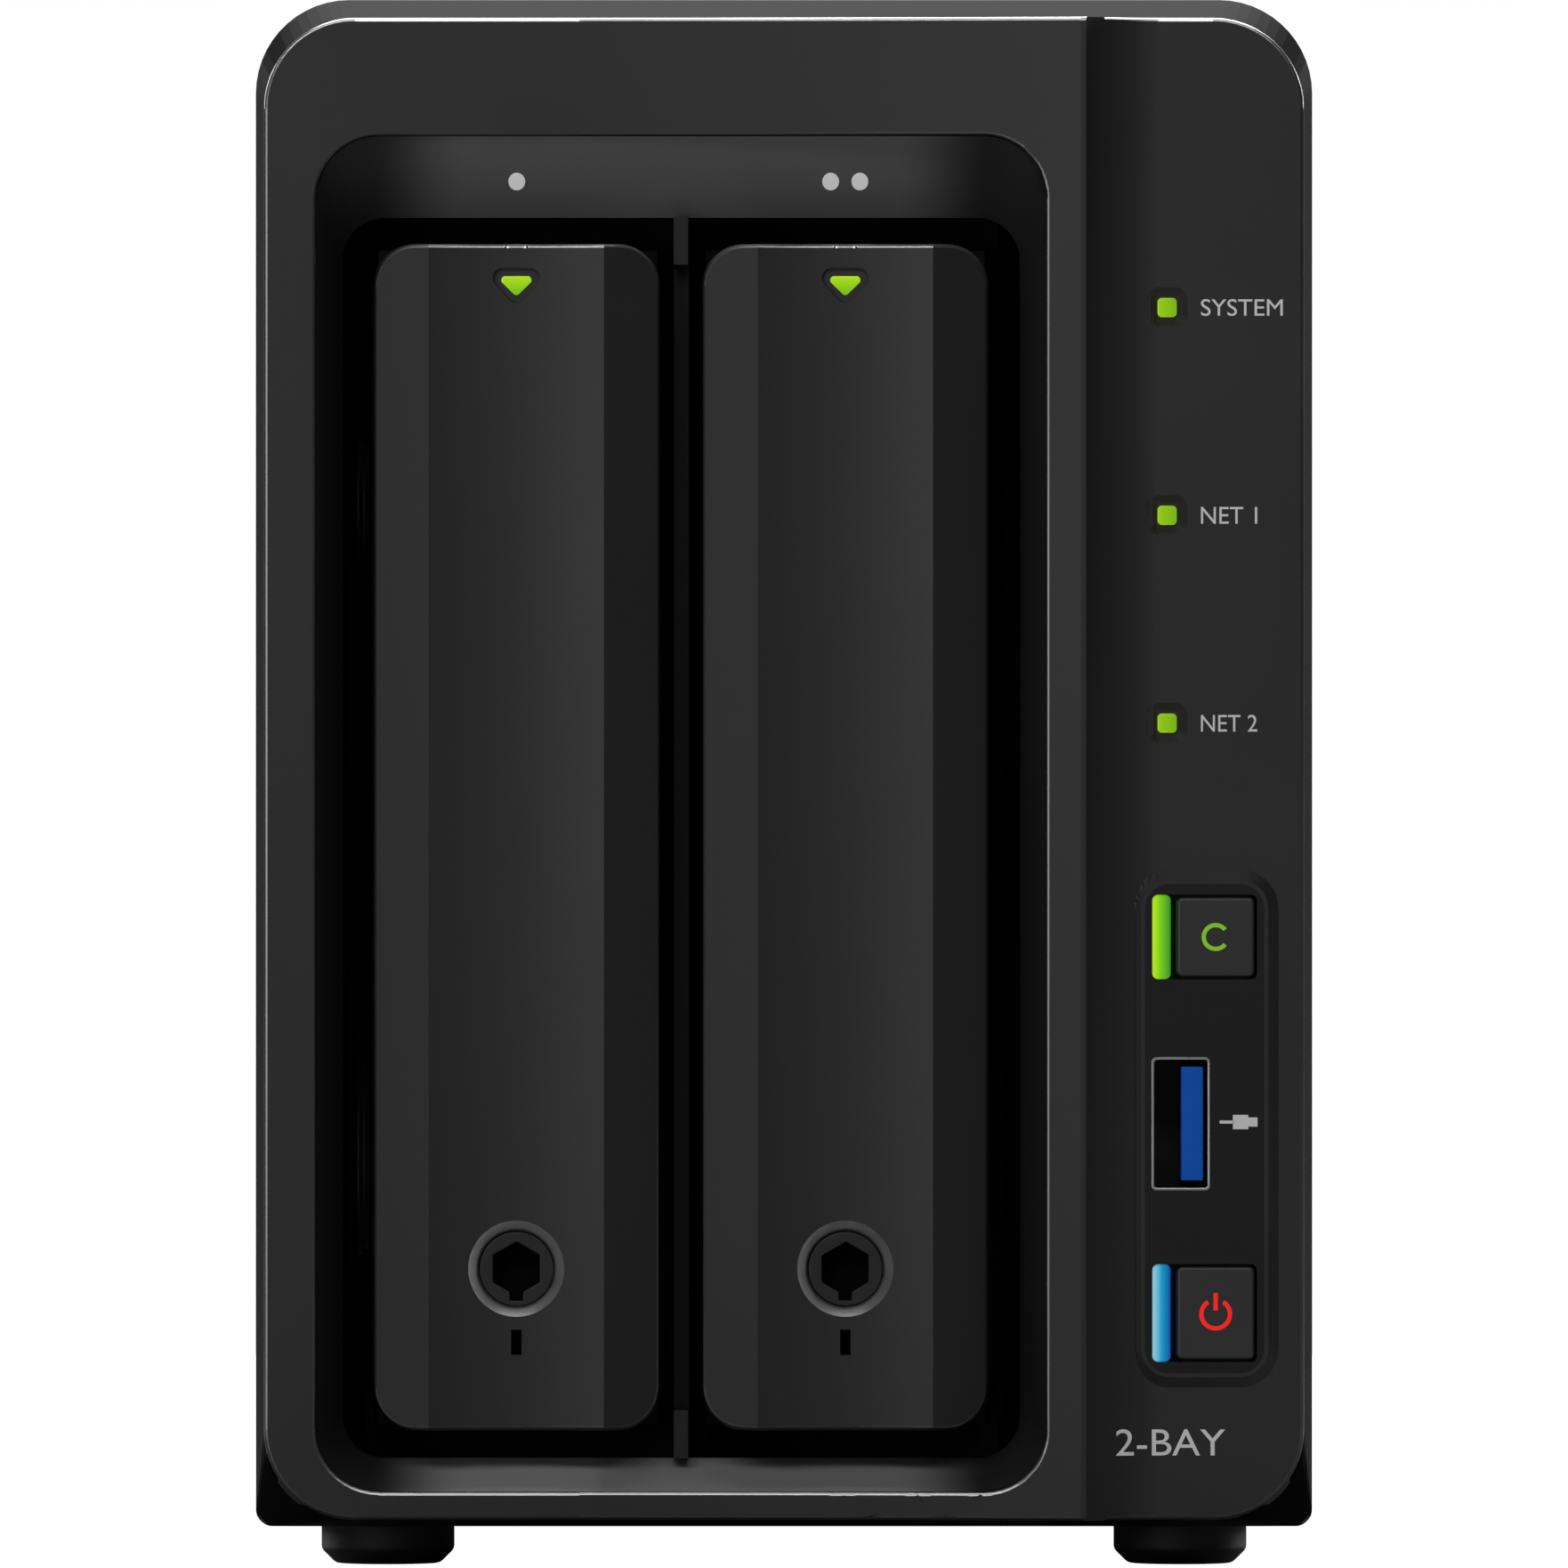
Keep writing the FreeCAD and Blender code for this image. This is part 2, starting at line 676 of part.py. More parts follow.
def make_handle(x):
    dish_y = handle_ridge_y + dish_drop
    bore = lock_radius + lock_clearance
    boss = rod(bore + lock_boss_wall, (x, dish_y + 0.6, lock_z), (0, 1, 0), handle_back - 1.3 - dish_y - 0.6)
    shell = joined(handle_body(x, 0.0).cut(handle_body(x, handle_wall)), boss)
    cutters = [
        rod(bore, (x, front_y, lock_z), (0, 1, 0), 20),
        Part.makeCone(lock_cone_radius, bore, lock_cone_depth, Vector(x, dish_y, lock_z), Vector(0, 1, 0)),
        rod(lock_cone_radius, (x, dish_y - 3, lock_z), (0, 1, 0), 3),
        block(x - lock_slot_width / 2, x + lock_slot_width / 2, front_y, handle_back,
              tray_bottom + lock_slot_rise, tray_bottom + lock_slot_rise + lock_slot_height),
        arrow(x, 1.3, 1.46, 1.0, front_y, dish_y + 0.5),
        arrow(x, 1.085, 1.07, 0.4, front_y, handle_back),
        rod(pin_radius + pin_clearance, (x - tray_width, hinge_y, hinge_z), (1, 0, 0), 2 * tray_width),
    ]
    return shell.cut(cutters)


def make_arrow_lens(x):
    dish_y = handle_ridge_y + dish_drop
    return arrow(x, 1.085, 1.07, 0.4, dish_y + 0.3, dish_y + handle_wall + 0.4)


def catch_front():
    return handle_back - 0.7


def make_lock_barrel(x):
    """Round barrel with a six-sided key socket and a tongue that turns behind the catch."""
    front = handle_ridge_y + dish_drop + 0.8
    tongue_y = catch_front() + 2.0
    barrel = rod(lock_radius, (x, front, lock_z), (0, 1, 0), tongue_y + 2.0 - front)
    tongue = block(x - 1.8, x + 1.8, tongue_y, tongue_y + 2.0, lock_z - 8.9, lock_z)
    corners = []
    for index in range(6):
        turn = math.radians(90 + 60 * index)
        corners.append((x + lock_hexagon * math.cos(turn), lock_z + lock_hexagon * math.sin(turn)))
    socket = prism_y(corners, front - 1, front + 3)
    notch = block(x - 0.62, x + 0.62, front - 1, front + 3, lock_z - 3.1, lock_z)
    return joined(barrel, tongue).cut([socket, notch])


def make_tray_frame(x):
    half = tray_width / 2 - tray_inset
    low = tray_bottom + tray_inset
    high = tray_top - tray_inset
    plate = block(x - half, x + half, plate_y, plate_back, low, high)
    vents = []
    for index in range(10):
        z = lock_z + 16.0 + index * 6.5
        vents.append(block(x - 8, x + 8, plate_y - 1, plate_back + 1, z, z + 3.2))
    pieces = [plate.cut(vents)]
    for outer, inner, step in ((low, drive_bottom, 1.5), (high, drive_top, -1.5)):
        web = outer + step
        pieces.append(block(x - half, x + half, plate_back, drive_back, min(outer, web), max(outer, web)))
        for side in (-1, 1):
            edges = sorted((x + side * half, x + side * (half - 1.2)))
            pieces.append(block(edges[0], edges[1], plate_back, drive_back,
                                min(outer, inner), max(outer, inner)))
    sheet = block(x - half, x - drive_thickness / 2, plate_back, drive_back, low, high)
    windows = []
    for index in range(4):
        y = drive_front + 8 + index * 34
        windows.append(block(x - half - 1, x - half + 2, y, y + 28, drive_bottom + 14, drive_top - 14))
    pieces.append(sheet.cut(windows))
    ear_outer = tray_width / 2 - handle_wall - ear_gap
    for side in (-1, 1):
        edges = sorted((x + side * ear_outer, x + side * (ear_outer - ear_wall)))
        pieces.append(rod(ear_radius, (edges[0], hinge_y, hinge_z), (1, 0, 0), ear_wall))
        pieces.append(block(edges[0], edges[1], hinge_y, plate_y + 0.5, hinge_z - ear_radius, hinge_z + 0.3))
    lip_y = catch_front()
    catch_far = x - tray_width / 2 + handle_wall + catch_side_gap
    catch_near = x - lock_radius - catch_lock_gap
    for end, back in ((catch_near, lip_y + 1.4), (catch_far + catch_wall, plate_y + 0.5)):
        pieces.append(block(catch_far, end, lip_y, back, lock_z - 3.4, lock_z + 3.6))
    pin_bore = rod(pin_radius, (x - tray_width, hinge_y, hinge_z), (1, 0, 0), 2 * tray_width)
    return joined(*pieces).cut(pin_bore)


def clip_places():
    return [drive_back - 28.5, drive_back - 28.5 - 70.0]


def make_tray_clips(x):
    clips = []
    low = tray_bottom + tray_inset + 1.5
    high = tray_top - tray_inset - 1.5
    for y in clip_places():
        for outer, inner, way in ((low, drive_bottom, 1), (high, drive_top, -1)):
            body = block(x - 6, x + 6, y - 9, y + 9, min(outer, inner), max(outer, inner))
            pin = rod(1.5, (x, y, inner - way * 0.5), (0, 0, way), 3.5)
            clips.append(joined(body, pin))
    return clips


def make_handle_pin(x):
    return rod(pin_radius, (x - tray_width / 2 + 0.5, hinge_y, hinge_z), (1, 0, 0), tray_width - 1.0)


def make_handle_spring(x):
    """A torsion spring round the hinge pin, with one leg on the tray plate."""
    coil_radius = 1.9
    wire_radius = 0.28
    length = 5.6
    spine = Part.Wire(Part.makeHelix(0.8, length, coil_radius).Edges)
    start = Part.Wire(Part.makeCircle(wire_radius, Vector(coil_radius, 0, 0), Vector(0, 1, 0)))
    coil = spine.makePipeShell([start], True, False)
    coil.rotate(Vector(0, 0, 0), Vector(0, 1, 0), 90)
    coil.translate(Vector(x - length / 2, hinge_y, hinge_z))
    leg_z = hinge_z - coil_radius
    leg = rod(wire_radius, (x - length / 2, hinge_y, leg_z), (0, 1, 0), plate_y - hinge_y)
    return joined(coil, leg)


def rounded_along_x(shape, radius):
    """Round the four long edges of a box that lie along X."""
    edges = [edge for edge in shape.Edges if edge.BoundBox.YLength < 0.01 and edge.BoundBox.ZLength < 0.01]
    return shape.makeFillet(radius, edges)


def make_drive_case(x):
    half = drive_thickness / 2
    case = rounded_along_x(block(x - half + drive_lid_wall, x + half - drive_board_wall, drive_front,
                                 drive_back, drive_bottom, drive_top), 3.0)
    middle = (drive_bottom + drive_top) / 2
    cutters = [block(x - 5, x + 5, drive_back - 6, drive_back + 1, middle - 24, middle + 24)]
    for y in clip_places():
        cutters.append(rod(1.6, (x, y, drive_bottom - 1), (0, 0, 1), 4.5))
        cutters.append(rod(1.6, (x, y, drive_top + 1), (0, 0, -1), 4.5))
    return case.cut(cutters)


def make_drive_lid(x):
    half = drive_thickness / 2
    lid = rounded_along_x(block(x - half, x - half + drive_lid_wall, drive_front + 1.5, drive_back - 1.5,
                                drive_bottom + 1.5, drive_top - 1.5), 3.0)
    return lid


def make_drive_board(x):
    half = drive_thickness / 2
    return block(x + half - drive_board_wall, x + half, drive_back - 96, drive_back - 7,
                 drive_bottom + 6, drive_top - 6)


# ---- Boards inside -----------------------------------------------------------
def board_screw_places():
    return [(y, z) for y in (bezel_back + 49, back_panel_y - 34) for z in (base_z + 20, base_z + 138)]


def make_main_board():
    board = block(board_x, board_x + board_wall, bezel_back + 44, back_panel_y - 1.5,
                  base_z + 14, height - 8.6)
    holes = [rod(1.6, (board_x - 1, y, z), (1, 0, 0), 5) for y, z in board_screw_places()]
    return board.cut(holes)


def make_board_screws():
    screws = []
    for y, z in board_screw_places():
        head = rod(3.0, (board_x - 1.6, y, z), (1, 0, 0), 1.6)
        shank = rod(1.5, (board_x - 0.5, y, z), (1, 0, 0), inner_x - board_x + 0.5)
        spacer = rod(2.5, (board_x + board_wall, y, z), (1, 0, 0), inner_x - board_x - board_wall)
        screws.append(joined(head, shank, spacer))
    return screws


def on_board(thickness, y0, y1, z0, z1, lift=0.0):
    """A block standing on the main board's inner side."""
    return block(board_x - lift - thickness, board_x - lift, y0, y1, z0, z1)


def make_board_chips():
    y = bezel_back
    z = base_z
    chips = [
        on_board(2.0, y + 66, y + 92, z + 72, z + 98),
        on_board(1.4, y + 60, y + 72, z + 46, z + 60),
        on_board(1.4, y + 82, y + 96, z + 46, z + 60),
        on_board(1.8, y + 110, y + 128, z + 100, z + 118),
        on_board(1.0, y + 62, y + 84, z + 25, z + 47 - 3),
    ]
    for index in range(4):
        chips.append(rod(4.0, (board_x, back_panel_y - 50, z + 96 + index * 10), (-1, 0, 0), 9.0))
    return chips


def make_connectors():
    """Backplane link, both ends of the front cable, and the fan header."""
    return [
        on_board(4.0, cage_back - 2, cage_back + board_wall + 2, base_z + 30, base_z + 82),
        on_board(4.0, bezel_back + 44, bezel_back + 50, base_z + 60, base_z + 82),
        block(board_x - 6.6, board_x - 2.6, front_board_y + board_wall, front_board_y + board_wall + 4,
              base_z + 60, base_z + 82),
        on_board(4.0, back_panel_y - 44, back_panel_y - 36, base_z + 50, base_z + 58),
    ]


def make_front_cable():
    """Flat cable in a long S bend from the front board to the main board."""
    start = Vector(board_x - 4.8, front_board_y + board_wall + 4, base_z + 61)
    end = Vector(board_x - 2.2, bezel_back + 44, base_z + 61)
    span = (end.y - start.y) / 2
    offset = (end.x - start.x) / 2
    radius = (span ** 2 + offset ** 2) / (2 * offset)
    quarter = math.asin(span / radius) / 2
    middle = (start + end) / 2
    rise = radius * (1 - math.cos(quarter))
    run = radius * math.sin(quarter)
    first = Part.Arc(start, start + Vector(rise, run, 0), middle).toShape()
    second = Part.Arc(middle, end - Vector(rise, run, 0), end).toShape()
    thickness = Vector(0.4, 0, 0)
    edges = [first, second, Part.makeLine(end, end + thickness)]
    for arc in (first, second):
        copy = arc.copy()
        copy.translate(thickness)
        edges.append(copy)
    edges.append(Part.makeLine(start + thickness, start))
    return Part.Face(Part.Wire(Part.__sortEdges__(edges))).extrude(Vector(0, 0, 20))


def make_heatsink():
    y = bezel_back + 60
    z = base_z + 66
    base = on_board(2.5, y, y + 38, z, z + 38, lift=2.0)
    fins = []
    for index in range(9):
        z0 = z + index * 4.6
        fins.append(on_board(11.0, y, y + 38, z0, z0 + 1.2, lift=4.0))
    return joined(base, *fins)


def make_coin_cell():
    return rod(10.0, (board_x - 1.0, bezel_back + 73, base_z + 34.5), (-1, 0, 0), 3.2)


def make_memory_socket():
    return on_board(5.2, bezel_back + 105, bezel_back + 154, base_z + 84, base_z + 90)


def make_memory_module():
    return on_board(1.2, bezel_back + 107, bezel_back + 152, base_z + 90, base_z + 116, lift=2.0)


# ---- Back --------------------------------------------------------------------
def fan_place():
    return -half_width + fan_from_side, base_z + fan_rise


def fan_screw_places():
    x, z = fan_place()
    half = fan_screw_pitch / 2
    return [(x + sx * half, z + sz * half) for sx in (-1, 1) for sz in (-1, 1)]


def make_back_panel():
    panel = case_slab(back_panel_y, back_panel_y + back_panel_wall, cover_wall + sheet_gap)
    x, z = fan_place()
    y0 = back_panel_y - 1
    long = back_panel_wall + 2
    rings = []
    for index in range(6):
        inner = 7.0 + index * 5.4
        tube = rod(inner + 3.4, (x, y0, z), (0, 1, 0), long)
        tube = tube.cut(rod(inner, (x, y0 - 1, z), (0, 1, 0), long + 2))
        rings.append(tube)
    bars = []
    for turn in (45, 135):
        bar = block(x - 45, x + 45, y0 - 1, y0 + long + 1, z - 1.6, z + 1.6)
        bar.rotate(Vector(x, 0, z), Vector(0, 1, 0), turn)
        bars.append(bar)
    cutters = [ring.cut(bars) for ring in rings]
    for sx, sz in fan_screw_places():
        cutters.append(rod(2.15, (sx, y0, sz), (0, 1, 0), long))
    for rise in lan_rises:
        cutters.append(block(port_x - 6.9, board_x + 0.2, y0, y0 + long,
                             base_z + rise - 8.2, base_z + rise + 8.2))
    for rise in usb_rises:
        cutters.append(slab(port_x - 3.1, port_x + 3.1, y0, y0 + long, base_z + rise - 6.8,
                            base_z + rise + 6.8, 0.6))
    cutters.append(slab(port_x - 2.8, port_x + 2.8, y0, y0 + long, base_z + esata_rise - 6.2,
                        base_z + esata_rise + 6.2, 0.6))
    cutters.append(rod(2.0, (port_x, y0, base_z + reset_rise), (0, 1, 0), long))
    cutters.append(slab(port_x - 1.5, port_x + 1.5, y0, y0 + long, base_z + security_rise - 3.5,
                        base_z + security_rise + 3.5, 1.0))
    cutters.append(rod(4.0, (port_x, y0, base_z + inlet_rise), (0, 1, 0), long))
    return panel.cut(cutters)


def make_fan_frame():
    x, z = fan_place()
    half = fan_size / 2
    y0 = back_panel_y - fan_depth
    frame = slab(x - half, x + half, y0, back_panel_y, z - half, z + half, 4.0)
    frame = frame.cut(rod(fan_bore / 2, (x, y0 - 1, z), (0, 1, 0), fan_depth + 2))
    mount = [rod(14.5, (x, back_panel_y - 3.5, z), (0, 1, 0), 3.5)]
    for index in range(3):
        strut = block(x, x + half - 1, back_panel_y - 3.5, back_panel_y, z - 1.5, z + 1.5)
        strut.rotate(Vector(x, 0, z), Vector(0, 1, 0), 30 + 120 * index)
        mount.append(strut)
    frame = joined(frame, *mount)
    cutters = [rod(1.55, (x, back_panel_y - 4, z), (0, 1, 0), 3.0)]
    for sx, sz in fan_screw_places():
        cutters.append(rod(2.15, (sx, y0 - 1, sz), (0, 1, 0), fan_depth + 2))
    return frame.cut(cutters)


def make_fan_rotor():
    x, z = fan_place()
    y0 = back_panel_y - fan_depth + 1.5
    y1 = back_panel_y - 4.3
    hub = rod(fan_hub_radius, (x, y0, z), (0, 1, 0), y1 - y0)
    shaft = rod(1.5, (x, y1 - 1, z), (0, 1, 0), 3.2)
    reach = fan_bore / 2 - fan_tip_gap
    sweep = rod(reach, (x, y0, z), (0, 1, 0), y1 - y0)
    blades = []
    for index in range(fan_blades):
        blade = block(x + fan_hub_radius - 2, x + reach + 2, -9.5, 9.5, z - 0.8, z + 0.8)
        blade.translate(Vector(0, (y0 + y1) / 2, 0))
        blade.rotate(Vector(x, (y0 + y1) / 2, z), Vector(1, 0, 0), 52)
        blade.rotate(Vector(x, 0, z), Vector(0, 1, 0), 360 * index / fan_blades)
        blades.append(blade.common(sweep))
    return joined(hub, shaft, *blades)


def make_fan_screws():
    screws = []
    for x, z in fan_screw_places():
        head = rod(3.4, (x, back_panel_y + back_panel_wall, z), (0, 1, 0), back_panel_inset - 0.1)
        shank = rod(1.9, (x, back_panel_y - 10, z), (0, 1, 0), 10 + back_panel_wall + 0.3)
        screws.append(joined(head, shank))
    return screws


def make_fan_lead():
    """Round lead: out of the fan frame, one wide bend, into its header on the main board."""
    x, z = fan_place()
    start = Vector(x + fan_size / 2 - 4, back_panel_y - fan_depth, base_z + 54)
    corner = Vector(start.x, back_panel_y - 40, start.z)
    end = Vector(board_x - 4.0, corner.y, start.z)
    radius = 0.45 * min(start.y - corner.y, end.x - corner.x)
    before = corner + Vector(0, radius, 0)
    after = corner + Vector(radius, 0, 0)
    centre = corner + Vector(radius, radius, 0)
    middle = centre - Vector(radius, radius, 0) * math.sqrt(0.5)
    path = Part.Wire([Part.makeLine(start, before), Part.Arc(before, middle, after).toShape(),
                      Part.makeLine(after, end)])
    section = Part.Wire(Part.makeCircle(0.8, start, Vector(0, 1, 0)))
    return path.makePipeShell([section], True, False)


# ---- Ports -------------------------------------------------------------------
def usb_shell(x, z, mouth_y, way):
    """An open-ended metal shell; way is the direction from the mouth inwards."""
    long = front_board_y - (strip_front + 0.1)
    y0, y1 = sorted((mouth_y, mouth_y + way * long))
    outer = slab(x - usb_shell_width / 2, x + usb_shell_width / 2, y0, y1, z - usb_shell_length / 2,
                 z + usb_shell_length / 2, 0.5)
    wall = usb_shell_wall
    y0, y1 = sorted((mouth_y - way, mouth_y + way * (long - wall)))
    inner = slab(x - usb_shell_width / 2 + wall, x + usb_shell_width / 2 - wall, y0, y1,
                 z - usb_shell_length / 2 + wall, z + usb_shell_length / 2 - wall, 0.3)
    return outer.cut(inner)


def usb_tongue(x, z, mouth_y, way):
    long = front_board_y - (strip_front + 0.1) - usb_shell_wall
    y0, y1 = sorted((mouth_y + way * 0.9, mouth_y + way * long))
    x0 = x + 0.04
    return block(x0, x0 + usb_tongue_width, y0, y1, z - usb_tongue_length / 2, z + usb_tongue_length / 2)


def usb_places():
    x, z = usb_front_place()
    places = [(x, z, strip_front + 0.1, 1)]
    for rise in usb_rises:
        places.append((port_x, base_z + rise, back_panel_y + back_panel_wall + 0.2, -1))
    return places


def make_lan_ports():
    ports = []
    y1 = back_panel_y + back_panel_wall + 0.2
    for rise in lan_rises:
        z = base_z + rise
        body = block(port_x - 6.75, board_x, y1 - 21, y1, z - 8, z + 8)
        ports.append(body.cut(block(port_x - 4.0, port_x + 4.0, y1 - 12.5, y1 + 1, z - 5.85, z + 5.85)))
    return ports


def make_esata_port():
    y1 = back_panel_y + back_panel_wall + 0.2
    z = base_z + esata_rise
    body = slab(port_x - 2.6, port_x + 2.6, y1 - 14, y1, z - 6.0, z + 6.0, 0.5)
    body = body.cut(slab(port_x - 2.0, port_x + 2.0, y1 - 8, y1 + 1, z - 5.4, z + 5.4, 0.3))
    tongue = block(port_x - 0.2, port_x + 0.9, y1 - 9, y1 - 1, z - 4.4, z + 4.4)
    foot = block(port_x + 2.0, board_x, y1 - 14, y1 - 3, z - 5.0, z + 5.0)
    return joined(body, tongue, foot)


def make_dc_inlet():
    y1 = back_panel_y + back_panel_wall
    z = base_z + inlet_rise
    body = joined(block(port_x - 5, board_x, y1 - 15, y1 - 1.4, z - 5.5, z + 5.5),
                  rod(3.9, (port_x, y1 - 2, z), (0, 1, 0), 2.0))
    body = body.cut(rod(3.1, (port_x, y1 - 11, z), (0, 1, 0), 12))
    return joined(body, rod(1.0, (port_x, y1 - 12, z), (0, 1, 0), 10.5))


def make_reset_switch():
    z = base_z + reset_rise
    return block(port_x - 3.5, board_x, back_panel_y - 9, back_panel_y - 2.5, z - 3.5, z + 3.5)


def make_reset_button():
    z = base_z + reset_rise
    cap = rod(1.7, (port_x, back_panel_y - 1.7, z), (0, 1, 0), back_panel_wall + 1.4)
    flange = rod(2.6, (port_x, back_panel_y - 1.7, z), (0, 1, 0), 1.4)
    return joined(cap, flange)


# ---- The whole object --------------------------------------------------------
def main():
    os.makedirs("parts", exist_ok=True)
    save("outer_cover", make_cover())
    save("base_pan", make_base())
    save("rubber_feet", *make_feet())
    save("front_bezel", make_bezel())
    save("control_panel", make_control_panel())
    save("back_panel", make_back_panel())
    for name, (z, tall) in zip(("power", "copy"), wells()):
        save(name + "_light_strip", make_light_strip(z, tall))
        save(name + "_button", make_button(z, tall))
    save("status_lenses", *make_status_lenses())
    save("front_board", make_front_board())
    save("button_switches", *make_button_switches())
    save("front_lights", *make_front_lights())
    save("drive_cage", *make_cage())
    save("bay_divider", make_divider())
    save("bay_rails", *make_rails())
    save("backplane_board", make_backplane())
    save("drive_sockets", *make_drive_sockets())
    save("main_board", make_main_board())
    save("board_screws", *make_board_screws())
    save("board_chips", *make_board_chips())
    save("connectors", *make_connectors())
    save("front_cable", make_front_cable())
    save("cpu_heatsink", make_heatsink())
    save("coin_cell", make_coin_cell())
    save("memory_module", make_memory_module())
    save("memory_socket", make_memory_socket())
    save("fan_frame", make_fan_frame())
    save("fan_rotor", make_fan_rotor())
    save("fan_screws", *make_fan_screws())
    save("fan_lead", make_fan_lead())
    save("cover_screws", *[side_screw(side, y, z) for side in (-1, 1) for y, z in side_screw_places()])
    save("usb_shells", *[usb_shell(*place) for place in usb_places()])
    save("usb_tongues", *[usb_tongue(*place) for place in usb_places()])
    save("lan_ports", *make_lan_ports())
    save("esata_port", make_esata_port())
    save("dc_inlet", make_dc_inlet())
    save("reset_switch", make_reset_switch())
    save("reset_button", make_reset_button())
    for number, x in enumerate(tray_centres, start=1):
        save(f"tray_frame_{number}", make_tray_frame(x))
        save(f"tray_clips_{number}", *make_tray_clips(x))
        save(f"handle_pin_{number}", make_handle_pin(x))
        save(f"handle_spring_{number}", make_handle_spring(x))
        save(f"drive_case_{number}", make_drive_case(x))
        save(f"drive_lid_{number}", make_drive_lid(x))
        save(f"drive_board_{number}", make_drive_board(x))
        save(f"tray_handle_{number}", make_handle(x))
        save(f"arrow_lens_{number}", make_arrow_lens(x))
        save(f"lock_barrel_{number}", make_lock_barrel(x))


main()
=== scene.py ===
# %% [markdown]
# A two-bay network storage box, dressed for a studio picture.
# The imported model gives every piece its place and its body, so this lesson starts by
# loading it and only adds what the eye needs: rounded edges, moulded plastic, powder
# coat, lit lenses and printed marks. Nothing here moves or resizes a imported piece.

# %% Load the frame
import json
import math
import bmesh
import bpy
from mathutils import Matrix, Vector


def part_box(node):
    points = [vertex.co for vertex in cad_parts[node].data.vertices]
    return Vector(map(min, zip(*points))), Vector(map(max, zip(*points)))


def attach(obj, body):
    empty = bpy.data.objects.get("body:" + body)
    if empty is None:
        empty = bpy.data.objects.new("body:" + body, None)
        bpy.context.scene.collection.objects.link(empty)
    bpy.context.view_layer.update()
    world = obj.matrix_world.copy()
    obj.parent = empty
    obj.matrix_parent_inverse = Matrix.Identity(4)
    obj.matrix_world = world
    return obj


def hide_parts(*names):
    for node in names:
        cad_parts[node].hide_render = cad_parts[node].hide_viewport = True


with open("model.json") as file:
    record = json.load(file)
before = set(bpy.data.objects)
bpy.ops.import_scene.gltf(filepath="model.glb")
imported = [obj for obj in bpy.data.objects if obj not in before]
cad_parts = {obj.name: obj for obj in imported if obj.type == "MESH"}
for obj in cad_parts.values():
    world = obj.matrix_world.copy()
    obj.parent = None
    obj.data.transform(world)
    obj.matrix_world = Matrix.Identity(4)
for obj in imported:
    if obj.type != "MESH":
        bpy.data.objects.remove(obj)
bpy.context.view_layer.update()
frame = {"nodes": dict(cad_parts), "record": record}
MM = 0.001
body_of = {node: body for body, nodes in frame["record"]["behaviour"]["bodies"].items() for node in nodes}

# %% [markdown]
# Camera first. The object is drawn from straight in front with almost no perspective, so a
# very long lens stands far back: verticals stay vertical and the deep recess shows little of
# its side walls. The distance is worked out so that the height of the case fills the picture.

# %% Camera
SENSOR = 0.036
LENS = 0.5
RIM_BEHIND_RIDGE = 7.0 * MM
case_low, case_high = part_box("front_bezel")
top_of_case = case_high.z
camera_data = bpy.data.cameras.new("front_camera")
camera_data.sensor_width = SENSOR / MM
camera_data.lens = LENS / MM
camera_data.clip_start = 0.1
camera_data.clip_end = 20.0
camera = bpy.data.objects.new("front_camera", camera_data)
bpy.context.scene.collection.objects.link(camera)
rim_depth = case_low.y + RIM_BEHIND_RIDGE
distance = top_of_case * LENS / SENSOR
camera.location = (0.0, rim_depth - distance, top_of_case / 2)
camera.rotation_euler = (math.radians(90), 0, 0)
bpy.context.scene.camera = camera
bpy.context.scene.view_settings.view_transform = "Standard"
print("camera stands", round(distance, 3), "m in front of the rim")

# %% [markdown]
# Moulded plastic and powder coat are never quite smooth. One node group makes that grain:
# fine noise for the bump, and broad, weak noise that shifts colour and roughness so that
# large faces don't look printed. It has named sockets and is used in most finishes below.


